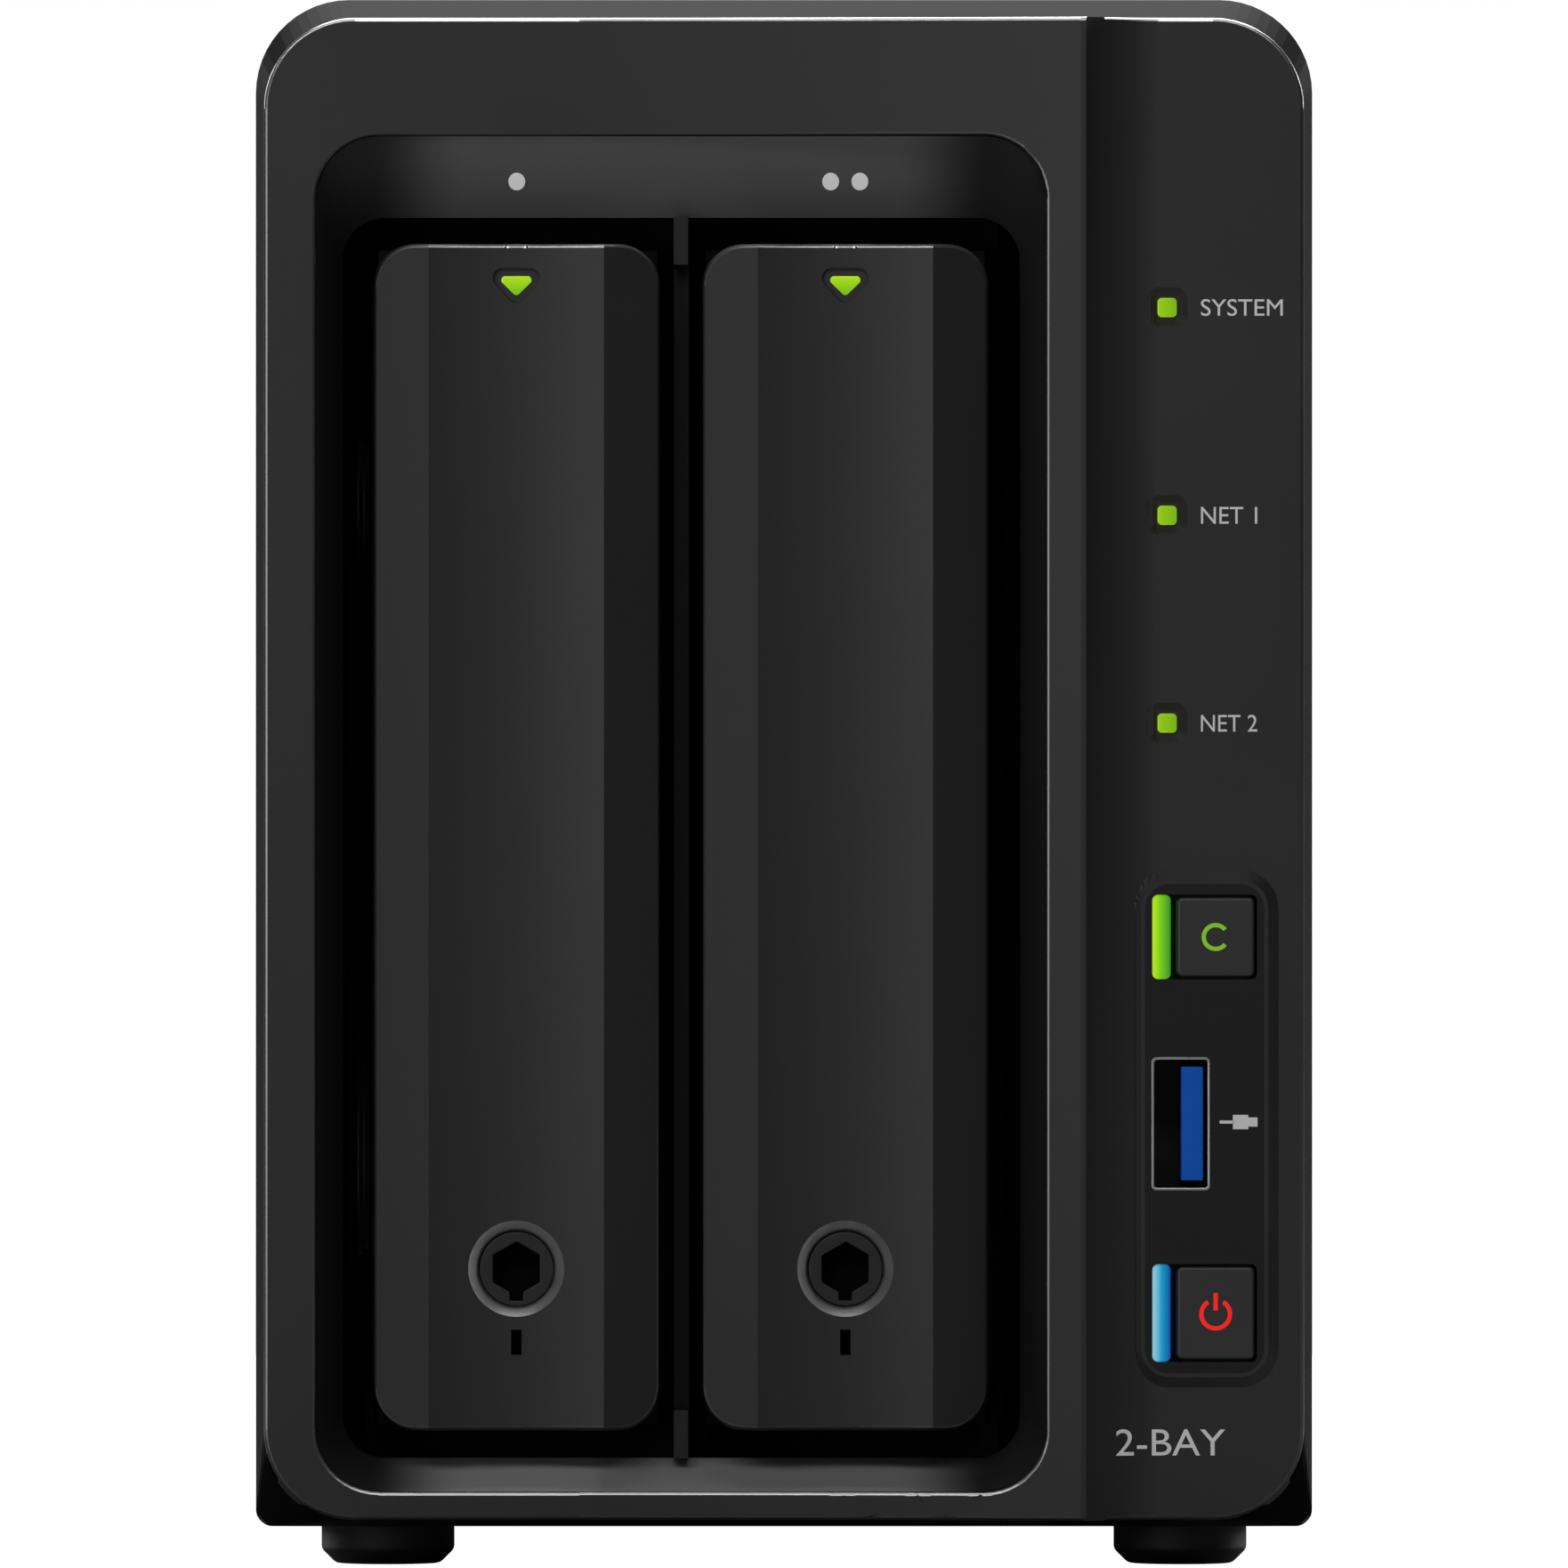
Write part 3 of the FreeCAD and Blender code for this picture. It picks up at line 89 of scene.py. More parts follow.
# %% Grain group
def make_grain_group():
    group = bpy.data.node_groups.new("surface_grain", "ShaderNodeTree")
    inputs = (("Colour", "NodeSocketColor", (0.03, 0.03, 0.03, 1)),
              ("Grain Size", "NodeSocketFloat", 2500.0), ("Roughness", "NodeSocketFloat", 0.45),
              ("Bump", "NodeSocketFloat", 0.1), ("Mottle", "NodeSocketFloat", 0.08))
    outputs = (("Colour", "NodeSocketColor"), ("Roughness", "NodeSocketFloat"),
               ("Normal", "NodeSocketVector"))
    for name, kind, value in inputs:
        group.interface.new_socket(name, in_out="INPUT", socket_type=kind).default_value = value
    for name, kind in outputs:
        group.interface.new_socket(name, in_out="OUTPUT", socket_type=kind)
    nodes, links = group.nodes, group.links
    inlet = nodes.new("NodeGroupInput")
    outlet = nodes.new("NodeGroupOutput")
    place = nodes.new("ShaderNodeTexCoord")
    fine = nodes.new("ShaderNodeTexNoise")
    fine.inputs["Detail"].default_value = 2.0
    broad = nodes.new("ShaderNodeTexNoise")
    broad.inputs["Scale"].default_value = 45.0
    broad.inputs["Detail"].default_value = 3.0
    bump = nodes.new("ShaderNodeBump")
    bump.inputs["Distance"].default_value = 0.00006
    swing = nodes.new("ShaderNodeMapRange")
    swing.inputs["To Min"].default_value = -1.0
    swing.inputs["To Max"].default_value = 1.0
    amount = nodes.new("ShaderNodeMath")
    amount.operation = "MULTIPLY"
    rough = nodes.new("ShaderNodeMath")
    rough.operation = "MULTIPLY_ADD"
    bright = nodes.new("ShaderNodeMath")
    bright.operation = "ADD"
    bright.inputs[1].default_value = 1.0
    tint = nodes.new("ShaderNodeHueSaturation")
    for noise in (fine, broad):
        links.new(place.outputs["Object"], noise.inputs["Vector"])
    links.new(inlet.outputs["Grain Size"], fine.inputs["Scale"])
    links.new(fine.outputs["Fac"], bump.inputs["Height"])
    links.new(inlet.outputs["Bump"], bump.inputs["Strength"])
    links.new(broad.outputs["Fac"], swing.inputs["Value"])
    links.new(swing.outputs["Result"], amount.inputs[0])
    links.new(inlet.outputs["Mottle"], amount.inputs[1])
    links.new(amount.outputs["Value"], rough.inputs[0])
    rough.inputs[1].default_value = 0.6
    links.new(inlet.outputs["Roughness"], rough.inputs[2])
    links.new(amount.outputs["Value"], bright.inputs[0])
    links.new(bright.outputs["Value"], tint.inputs["Value"])
    links.new(inlet.outputs["Colour"], tint.inputs["Color"])
    links.new(tint.outputs["Color"], outlet.inputs["Colour"])
    links.new(rough.outputs["Value"], outlet.inputs["Roughness"])
    links.new(bump.outputs["Normal"], outlet.inputs["Normal"])
    return group


GRAIN = make_grain_group()
print("grain group sockets:", len(GRAIN.interface.items_tree))

# %% [markdown]
# A finish is a Principled shader with the grain group in front of it. Two finishes also change
# with the way the surface faces: the front outline and the rim get painted light, a grey that
# follows the height of the surface normal, bright as a painted highlight where the surface looks
# up at the light and dark as painted shade where it looks down.


# %% Finish maker
def finish(name, colour, roughness, metallic=0.0, grain=2500.0, bump=0.1, mottle=0.08,
           specular=0.5):
    """A material whose colour, roughness and normal come through the grain group."""
    material = bpy.data.materials.new(name)
    material.use_nodes = True
    tree = material.node_tree
    shader = tree.nodes["Principled BSDF"]
    shader.inputs["Metallic"].default_value = metallic
    shader.inputs["Specular IOR Level"].default_value = specular
    group = tree.nodes.new("ShaderNodeGroup")
    group.node_tree = GRAIN
    group.inputs["Colour"].default_value = (*colour, 1)
    group.inputs["Grain Size"].default_value = grain
    group.inputs["Roughness"].default_value = roughness
    group.inputs["Bump"].default_value = bump
    group.inputs["Mottle"].default_value = mottle
    tree.links.new(group.outputs["Colour"], shader.inputs["Base Color"])
    tree.links.new(group.outputs["Roughness"], shader.inputs["Roughness"])
    tree.links.new(group.outputs["Normal"], shader.inputs["Normal"])
    material.diffuse_color = (*colour, 1)
    return material


def paint_light_by_tilt(material, stops):
    """Paint light into a finish by how far its surface faces up: straight down is 0, straight up is 1."""
    tree = material.node_tree
    surface = tree.nodes.new("ShaderNodeNewGeometry")
    split = tree.nodes.new("ShaderNodeSeparateXYZ")
    tilt = tree.nodes.new("ShaderNodeMath")
    tilt.operation = "MULTIPLY_ADD"
    tilt.inputs[1].default_value = 0.5
    tilt.inputs[2].default_value = 0.5
    ramp = tree.nodes.new("ShaderNodeValToRGB")
    while len(ramp.color_ramp.elements) < len(stops):
        ramp.color_ramp.elements.new(0.5)
    for element, (place, grey) in zip(ramp.color_ramp.elements, stops):
        element.position = place
        element.color = (grey, grey, grey, 1)
    group = next(node for node in tree.nodes if node.type == "GROUP")
    tree.links.new(surface.outputs["Normal"], split.inputs["Vector"])
    tree.links.new(split.outputs["Z"], tilt.inputs[0])
    tree.links.new(tilt.outputs["Value"], ramp.inputs["Fac"])
    tree.links.new(ramp.outputs["Color"], group.inputs["Colour"])


# %% [markdown]
# Lit plastic: the green and blue windows glow and are brighter on one side, as a light guide
# with its lamp at one end is. A gradient along an axis of the object, between two places in
# metres, drives both the colour and the glow.


# %% Lens maker
def lens_finish(name, stops, axis, start, end, glow):
    """Tinted, softly lit plastic; stops are (share, colour) along one axis from start to end."""
    material = bpy.data.materials.new(name)
    material.use_nodes = True
    tree = material.node_tree
    shader = tree.nodes["Principled BSDF"]
    shader.inputs["Roughness"].default_value = 0.18
    shader.inputs["Coat Weight"].default_value = 0.6
    shader.inputs["Emission Strength"].default_value = glow
    place = tree.nodes.new("ShaderNodeTexCoord")
    split = tree.nodes.new("ShaderNodeSeparateXYZ")
    span = tree.nodes.new("ShaderNodeMapRange")
    span.inputs["From Min"].default_value = start
    span.inputs["From Max"].default_value = end
    ramp = tree.nodes.new("ShaderNodeValToRGB")
    while len(ramp.color_ramp.elements) < len(stops):
        ramp.color_ramp.elements.new(0.5)
    for element, (share, colour) in zip(ramp.color_ramp.elements, stops):
        element.position = share
        element.color = (*colour, 1)
    tree.links.new(place.outputs["Object"], split.inputs["Vector"])
    tree.links.new(split.outputs[axis], span.inputs["Value"])
    tree.links.new(span.outputs["Result"], ramp.inputs["Fac"])
    tree.links.new(ramp.outputs["Color"], shader.inputs["Base Color"])
    tree.links.new(ramp.outputs["Color"], shader.inputs["Emission Color"])
    return material


# %% [markdown]
# The upper and lower slopes of the funnel round the bays get painted light, lightest on the
# lower slope that faces up, fading into painted shade in the dark corners and sides. The tint is
# placed by position on the object, because the corners are made of narrow faces and a tint that
# followed their normals would come out jagged. Ink on black gets a little light of its own, so
# that it stays readable in a dim corner.

# %% Slope tint, painted light
FUNNEL_FROM_LEFT = 6.0 * MM
FUNNEL_FROM_RIGHT = 26.18 * MM
SLOPE_FADE = 15.0 * MM
SHADE_SHARE = 0.35
CORNER_SHADE_GREY = 0.014
LOWER_SLOPE_LIGHT = (0.2, 0.34)
UPPER_SLOPE_LIGHT = (0.7, 0.13)


def paint_slope_light(material):
    """Painted light along the upper and lower slopes of the funnel, painted shade in its corners and sides.
    """
    tree = material.node_tree
    place = tree.nodes.new("ShaderNodeTexCoord")
    split = tree.nodes.new("ShaderNodeSeparateXYZ")
    tree.links.new(place.outputs["Object"], split.inputs["Vector"])
    fades = []
    left = case_low.x + FUNNEL_FROM_LEFT
    right = case_high.x - FUNNEL_FROM_RIGHT
    for corner, inner in ((left, left + SLOPE_FADE), (right, right - SLOPE_FADE)):
        fade = tree.nodes.new("ShaderNodeMapRange")
        fade.interpolation_type = "SMOOTHSTEP"
        fade.inputs["From Min"].default_value = corner + (inner - corner) * SHADE_SHARE
        fade.inputs["From Max"].default_value = inner
        tree.links.new(split.outputs["X"], fade.inputs["Value"])
        fades.append(fade)
    both = tree.nodes.new("ShaderNodeMath")
    both.operation = "MULTIPLY"
    height = tree.nodes.new("ShaderNodeMapRange")
    height.inputs["From Min"].default_value = case_low.z
    height.inputs["From Max"].default_value = case_high.z
    ramp = tree.nodes.new("ShaderNodeValToRGB")
    for element, (share, grey) in zip(ramp.color_ramp.elements, (LOWER_SLOPE_LIGHT, UPPER_SLOPE_LIGHT)):
        element.position = share
        element.color = (grey, grey, grey, 1)
    mix = tree.nodes.new("ShaderNodeMixRGB")
    mix.inputs["Color1"].default_value = (CORNER_SHADE_GREY, CORNER_SHADE_GREY, CORNER_SHADE_GREY, 1)
    group = next(node for node in tree.nodes if node.type == "GROUP")
    tree.links.new(fades[0].outputs["Result"], both.inputs[0])
    tree.links.new(fades[1].outputs["Result"], both.inputs[1])
    tree.links.new(split.outputs["Z"], height.inputs["Value"])
    tree.links.new(height.outputs["Result"], ramp.inputs["Fac"])
    tree.links.new(both.outputs["Value"], mix.inputs["Fac"])
    tree.links.new(ramp.outputs["Color"], mix.inputs["Color2"])
    tree.links.new(mix.outputs["Color"], group.inputs["Colour"])


def self_lit(material, colour, strength):
    """A little light of its own, for ink that has to stay readable on black."""
    shader = material.node_tree.nodes["Principled BSDF"]
    shader.inputs["Emission Color"].default_value = (*colour, 1)
    shader.inputs["Emission Strength"].default_value = strength
    return material


# %% [markdown]
# The finishes of the real object. Black plastics differ only a little in colour, so their
# roughness and grain tell them apart: a spark-eroded bezel, slightly glossier handles, smooth
# button caps, and a steel cover with the orange-peel of powder coat.

# %% Finishes
FINISHES = {
    "case_steel": finish("black_powder_coat", (0.012, 0.012, 0.0125), 0.58, grain=1600, bump=0.35,
                         mottle=0.06, specular=0.3),
    "bezel_plastic": finish("bezel_black", (0.014, 0.014, 0.0145), 0.46, grain=3200, bump=0.12),
    "panel_plastic": finish("strip_black", (0.006, 0.006, 0.0065), 0.55, grain=3200, bump=0.1, specular=0.3),
    "handle_plastic": finish("handle_black", (0.013, 0.013, 0.0135), 0.48, grain=3200, bump=0.1),
    "button_plastic": finish("button_black", (0.032, 0.032, 0.0325), 0.38, grain=4000, bump=0.05),
    "lock_plastic": finish("lock_black", (0.006, 0.006, 0.006), 0.45, grain=3500, bump=0.04),
    "foot_rubber": finish("foot_rubber", (0.006, 0.006, 0.006), 0.62, grain=2600, bump=0.2),
    "plain_steel": finish("zinc_plate", (0.24, 0.24, 0.245), 0.42, metallic=1.0, grain=900,
                          bump=0.04, mottle=0.12),
    "port_steel": finish("nickel_plate", (0.62, 0.62, 0.62), 0.28, metallic=1.0, grain=1500, bump=0.03),
    "port_blue": finish("port_blue", (0.002, 0.12, 0.62), 0.6, grain=3000, bump=0.05, specular=0.2),
    "port_black": finish("port_black", (0.01, 0.01, 0.01), 0.45, grain=2500, bump=0.06),
    "circuit_green": finish("solder_mask", (0.006, 0.075, 0.028), 0.32, grain=1200, bump=0.05, mottle=0.2),
    "chip_black": finish("moulded_epoxy", (0.016, 0.016, 0.017), 0.55, grain=2200, bump=0.12),
    "light_chip": finish("light_chip", (0.8, 0.78, 0.6), 0.3, grain=2000, bump=0.02),
    "connector_white": finish("connector_nylon", (0.7, 0.67, 0.56), 0.5, grain=1800, bump=0.06),
    "flat_cable": finish("flat_cable", (0.55, 0.56, 0.6), 0.45, grain=1500, bump=0.04),
    "lead_black": finish("lead_jacket", (0.012, 0.012, 0.012), 0.5, grain=2000, bump=0.08),
    "sink_aluminium": finish("sink_aluminium", (0.5, 0.5, 0.52), 0.36, metallic=1.0, grain=1400, bump=0.06),
    "drive_aluminium": finish("cast_aluminium", (0.32, 0.32, 0.33), 0.5, metallic=0.9, grain=1100, bump=0.25),
    "drive_steel": finish("pressed_steel", (0.6, 0.6, 0.61), 0.3, metallic=1.0, grain=700,
                          bump=0.05, mottle=0.1),
    "rail_plastic": finish("rail_black", (0.003, 0.003, 0.003), 0.75, grain=2200, bump=0.1, specular=0.15),
    "fan_plastic": finish("fan_black", (0.015, 0.015, 0.016), 0.42, grain=2400, bump=0.06),
}
# Painted highlight on the front outline: its grey rises as the edge faces up towards the light.
OUTLINE_HIGHLIGHT = finish("outline_painted_highlight", (0.42, 0.42, 0.43), 0.3, metallic=1.0, grain=3000, bump=0.02)
# Painted shade on the side rims, near-black and barely shining, and a painted highlight on the top rim by
# tilt.
RIM_PAINTED_LIGHT = finish("rim_painted_shade_and_highlight", (0.002, 0.002, 0.002), 0.6, grain=3200, bump=0.08, specular=0.05)
# Painted light on the funnel slopes, fading to painted shade in their corners.
SLOPE_PAINTED_LIGHT = finish("slope_painted_light", (0.085, 0.085, 0.086), 0.55, grain=3200, bump=0.1)
paint_slope_light(SLOPE_PAINTED_LIGHT)
paint_light_by_tilt(RIM_PAINTED_LIGHT, ((0.5, 0.002), (0.74, 0.004), (0.88, 0.11)))
paint_light_by_tilt(OUTLINE_HIGHLIGHT, ((0.1, 0.05), (0.45, 0.09), (0.6, 0.3), (0.8, 0.9)))
WHITE_INK = self_lit(finish("grey_ink", (0.7, 0.7, 0.7), 0.6, grain=4000, bump=0.03, mottle=0.04),
                     (1, 1, 1), 0.05)
DOT_INK = self_lit(finish("light_grey_ink", (0.8, 0.8, 0.8), 0.6, grain=4000, bump=0.03, mottle=0.04),
                   (1, 1, 1), 0.22)
print("finishes:", len(FINISHES))

# %% [markdown]
# The lenses. The green strip runs from yellow-green to leaf green and the blue strip from pale
# sky to deep blue, both from left to right. The three status windows use two of the greens from
# left to right, and the two arrows use them along their height.


# %% Lens finishes
def lens_for(node, name, stops, axis, glow):
    low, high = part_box(node)
    index = "XYZ".index(axis)
    return lens_finish(name, stops, axis, low[index], high[index], glow)


LIME = (0.42, 0.72, 0.01)
LEAF = (0.16, 0.48, 0.01)
DEEP_LEAF = (0.02, 0.22, 0.015)
SKY = (0.36, 0.72, 0.88)
AZURE = (0.004, 0.36, 0.6)
NAVY = (0.003, 0.05, 0.36)
copy_lens = lens_for("copy_light_strip", "copy_lens", ((0.0, LIME), (0.45, LEAF), (1.0, DEEP_LEAF)), "X", 0.8)
power_lens = lens_for("power_light_strip", "power_lens", ((0.0, SKY), (0.5, AZURE), (1.0, NAVY)), "X", 0.5)
arrow_lens = lens_for("arrow_lens_1", "arrow_lens", ((0.0, LEAF), (1.0, LIME)), "Z", 0.55)
status_lens = lens_for("status_lenses", "status_lens", ((0.0, LIME), (1.0, LEAF)), "X", 0.4)
print("lens finishes made")

# %% [markdown]
# Real mouldings and folded sheets have no knife edges: every edge has a small radius, and
# that radius is what catches the light. Each imported piece is copied, its loose triangles are
# merged and flattened, and a Bevel modifier rounds only the sharp edges. The copy replaces
# its node and rides on the same body. On the bezel and the handles a second Bevel rounds the
# outline of the front by weight and gives it the outline finish, a painted highlight that is
# bright where the edge faces up and dark where it faces down.


# %% Rounded copies
SAME_POINT = 0.001 * MM
SAME_PLANE = math.radians(0.4)
FACES_FRONT = -0.85
TURNS_AWAY = 0.3
SHARP_ANGLE = 24
SHARP_ANGLE_BY_OUTLINE = 36
OUTLINE_HIGHLIGHT_SLOT, RIM_PAINTED_LIGHT_SLOT, SLOPE_PAINTED_LIGHT_SLOT = 1, 2, 3


def link(name, mesh):
    piece = bpy.data.objects.new(name, mesh)
    bpy.context.scene.collection.objects.link(piece)
    return piece


def merged_copy(node):
    """The node's mesh with its triangles joined and its flat faces made whole."""
    work = bmesh.new()
    work.from_mesh(frame["nodes"][node].data)
    bmesh.ops.remove_doubles(work, verts=work.verts, dist=SAME_POINT)
    bmesh.ops.dissolve_limit(work, angle_limit=SAME_PLANE, use_dissolve_boundaries=False,
                             verts=work.verts, edges=work.edges, delimit={"NORMAL"})
    mesh = bpy.data.meshes.new(node + "_rounded")
    work.to_mesh(mesh)
    work.free()
    return mesh


def weight_outline(mesh, on_outline):
    """Mark the edges where a front face meets a side wall and the place is on the outline."""
    work = bmesh.new()
    work.from_mesh(mesh)
    weight = work.edges.layers.float.new("bevel_weight_edge")
    for edge in work.edges:
        depths = sorted(face.normal.y for face in edge.link_faces)
        place = (edge.verts[0].co + edge.verts[1].co) / 2
        is_corner = len(depths) == 2 and depths[0] < FACES_FRONT and depths[1] > depths[0] + TURNS_AWAY
        if is_corner and on_outline(place):
            edge[weight] = 1.0
    work.to_mesh(mesh)
    work.free()


def add_bevel(piece, name, radius, segments, angle=None):
    """Round the edges sharper than the angle, or the weighted ones when no angle is given."""
    bevel = piece.modifiers.new(name, "BEVEL")
    bevel.width = radius
    bevel.segments = segments
    bevel.limit_method = "ANGLE" if angle else "WEIGHT"
    if angle:
        bevel.angle_limit = math.radians(angle)
    bevel.material = -1 if angle else OUTLINE_HIGHLIGHT_SLOT
    bevel.harden_normals = True
    bevel.use_clamp_overlap = angle is not None


def even_out(piece):
    """Let the large flat faces set the shading at their borders."""
    weighted = piece.modifiers.new("even_shading", "WEIGHTED_NORMAL")
    weighted.mode = "FACE_AREA"
    weighted.weight = 100
    weighted.keep_sharp = True


def rounded(node, radius, slot, material=None, reshape=None, on_outline=None):
    """A copy of a node with small radii on its sharp edges, standing for that node."""
    mesh = merged_copy(node)
    mesh.shade_smooth()
    mesh.materials.clear()
    mesh.materials.append(material or FINISHES[slot])
    piece = link(node + "_rounded", mesh)
    if reshape:
        for extra in (OUTLINE_HIGHLIGHT, RIM_PAINTED_LIGHT, SLOPE_PAINTED_LIGHT):
            mesh.materials.append(extra)
        reshape(mesh)
    if on_outline:
        weight_outline(mesh, on_outline)
        add_bevel(piece, "outline_radius", radius, 3)
    add_bevel(piece, "edge_radius", radius, 2,
              angle=SHARP_ANGLE_BY_OUTLINE if on_outline else SHARP_ANGLE)
    even_out(piece)
    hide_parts(node)
    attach(piece, body_of[node])
    return piece


# %% [markdown]
# Two fronts are gently curved: the dish in each tray handle and the swell of the bezel up to
# its ridge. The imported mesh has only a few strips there, and broad strips shade as facets. The
# cure is to bisect the front into narrow strips and lay every new point on the true arc.

# %% Finer curved fronts
HANDLE_RADIUS, BEZEL_RADIUS = 0.4 * MM, 0.36 * MM
HANDLE_STRIPS, RISE_STRIPS, FALL_STRIPS = 70, 40, 56
HANDLE_FLANK = 5.5 * MM
HANDLE_DISH = 0.9 * MM
RIDGE_RISE = 3.0 * MM
RIDGE_FROM_SIDE = 22.75 * MM
RISE_RUN = 49.0 * MM
FALL_RUN = 7.1 * MM
RIDGE_FLAT = 0.5 * MM
ON_SURFACE = 0.12 * MM
CURVED_FRONT, FLAT_SHADED = -0.3, -0.5
HANDLE_EDGE_BAND = 1.5 * MM
BEZEL_EDGE_BAND = 2.2 * MM
BEZEL_CORNER_BAND = 10.0 * MM
RIM_SIDE_BAND = 2.0 * MM
RIM_CORNER_BAND = 5.0 * MM
RIM_DEPTHS = (1.6 * MM, 3.9 * MM)
RIM_LEAST_FACING = 0.1
SLOPE_DEPTHS = (0.8 * MM, 8.2 * MM)
SLOPE_FACING = (0.05, 0.95)


def cut_in_strips(mesh, left, right, count, depth_at):
    """Bisect the front faces between two places and lay their points on the arc."""
    work = bmesh.new()
    work.from_mesh(mesh)
    for step in range(1, count):
        x = left + (right - left) * step / count
        front = [face for face in work.faces if face.normal.y < CURVED_FRONT
                 and min(v.co.x for v in face.verts) < x < max(v.co.x for v in face.verts)]
        edges = {edge for face in front for edge in face.edges}
        verts = {vert for face in front for vert in face.verts}
        bmesh.ops.bisect_plane(work, geom=front + list(edges) + list(verts), dist=1e-7,
                               plane_co=(x, 0, 0), plane_no=(1, 0, 0))
    for vert in work.verts:
        if left <= vert.co.x <= right and abs(vert.co.y - depth_at(vert.co.x)) < ON_SURFACE:
            vert.co.y = depth_at(vert.co.x)
    for face in work.faces:
        if face.normal.y < FLAT_SHADED:
            face.smooth = False
    work.to_mesh(mesh)
    work.free()


def handle_reshape(node):
    low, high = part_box(node)
    middle = (low.x + high.x) / 2
    half = (high.x - low.x) / 2 - HANDLE_FLANK
    radius = (half ** 2 + HANDLE_DISH ** 2) / (2 * HANDLE_DISH)

    def depth_at(x):
        return low.y + HANDLE_DISH - radius + math.sqrt(max(radius ** 2 - (x - middle) ** 2, 0))
    return lambda mesh: cut_in_strips(mesh, middle - half, middle + half, HANDLE_STRIPS, depth_at)


def fall_depth(x):
    """Depth of the hollow that falls from the ridge to the flat control column."""
    fall = (FALL_RUN ** 2 + RIDGE_RISE ** 2) / (2 * RIDGE_RISE)
    fall_end = case_high.x - RIDGE_FROM_SIDE + RIDGE_FLAT + FALL_RUN
    return case_low.y + RIDGE_RISE - fall + math.sqrt(fall ** 2 - max(fall_end - x, 0) ** 2)


def near_side(place, low, high):
    """How far a place lies from the nearest and the next nearest side of a box's front."""
    across = min(place.x - low.x, high.x - place.x)
    upright = min(place.z - low.z, high.z - place.z)
    return min(across, upright), max(across, upright)


def handle_outline(node):
    low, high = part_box(node)
    return lambda place: near_side(place, low, high)[0] < HANDLE_EDGE_BAND


def bezel_outline(place):
    nearest, next_nearest = near_side(place, case_low, case_high)
    left_of_ridge = place.x < case_high.x - RIDGE_FROM_SIDE - MM
    return left_of_ridge or nearest < BEZEL_EDGE_BAND or next_nearest < BEZEL_CORNER_BAND


def bezel_reshape(mesh):
    ridge = case_high.x - RIDGE_FROM_SIDE
    rise = (RISE_RUN ** 2 + RIDGE_RISE ** 2) / (2 * RIDGE_RISE)
    flat = case_low.y + RIDGE_RISE
    rise_start = ridge - RISE_RUN
    fall_end = ridge + RIDGE_FLAT + FALL_RUN
    cut_in_strips(mesh, rise_start, ridge, RISE_STRIPS,
                  lambda x: flat - rise + math.sqrt(rise ** 2 - (x - rise_start) ** 2))
    cut_in_strips(mesh, ridge + RIDGE_FLAT, fall_end, FALL_STRIPS, fall_depth)
    # Rim faces by the sides and corners get the rim finish of painted shade and highlight; funnel slope faces
    # get the painted slope light.
    for face in mesh.polygons:
        depth = face.center.y - flat
        if RIM_DEPTHS[0] < depth < RIM_DEPTHS[1] and abs(face.normal.y) > RIM_LEAST_FACING:
            nearest, next_nearest = near_side(face.center, case_low, case_high)
            if nearest < RIM_SIDE_BAND or next_nearest < RIM_CORNER_BAND:
                face.material_index = RIM_PAINTED_LIGHT_SLOT
        if SLOPE_DEPTHS[0] < depth < SLOPE_DEPTHS[1] and face.center.x < ridge:
            if SLOPE_FACING[0] < -face.normal.y < SLOPE_FACING[1] and face.material_index == 0:
                face.material_index = SLOPE_PAINTED_LIGHT_SLOT


for number in (1, 2):
    node = f"tray_handle_{number}"
    handle = rounded(node, HANDLE_RADIUS, "handle_plastic", reshape=handle_reshape(node),
                     on_outline=handle_outline(node))
bezel = rounded("front_bezel", BEZEL_RADIUS, "bezel_plastic", reshape=bezel_reshape,
                on_outline=bezel_outline)
print("bezel faces:", len(bezel.data.polygons), "handle faces:", len(handle.data.polygons))

# %% [markdown]
# The other pieces with edges that catch the light get the same treatment, each with the radius
# of its own process in millimetres: a tight fold in sheet steel, a wider one on a moulding.

# %% Other rounded pieces
slot_of = {part["node"]: part["material_slot"] for part in frame["record"]["subparts"]}
ROUNDED = {
    "outer_cover": 0.35, "base_pan": 0.3, "back_panel": 0.2, "control_panel": 0.2,
    "power_button": 0.15, "copy_button": 0.15, "lock_barrel_1": 0.15, "lock_barrel_2": 0.15,
    "bay_divider": 0.2, "esata_port": 0.12, "dc_inlet": 0.15, "fan_frame": 0.4,
    "rubber_feet": 0.3, "usb_tongues": 0.12,
}
for node, radius in ROUNDED.items():
    rounded(node, radius * MM, slot_of[node])
print("rounded copies:", len(ROUNDED))

# %% [markdown]
# A port's metal shell is left bright only at its mouth. Inside, the LAN jacks are lined with black
# plastic, and the dark finish inside the USB shells is painted shade on their metal walls. Faces
# that lie inside the outline of their own shell get the dark finish.


# %% Port shells
MOUTH_DEPTH = 0.05 * MM
SHELL_RADIUS, SHELL_WALL = 0.08 * MM, 0.12 * MM
JACK_RADIUS, JACK_WALL = 0.15 * MM, 0.6 * MM


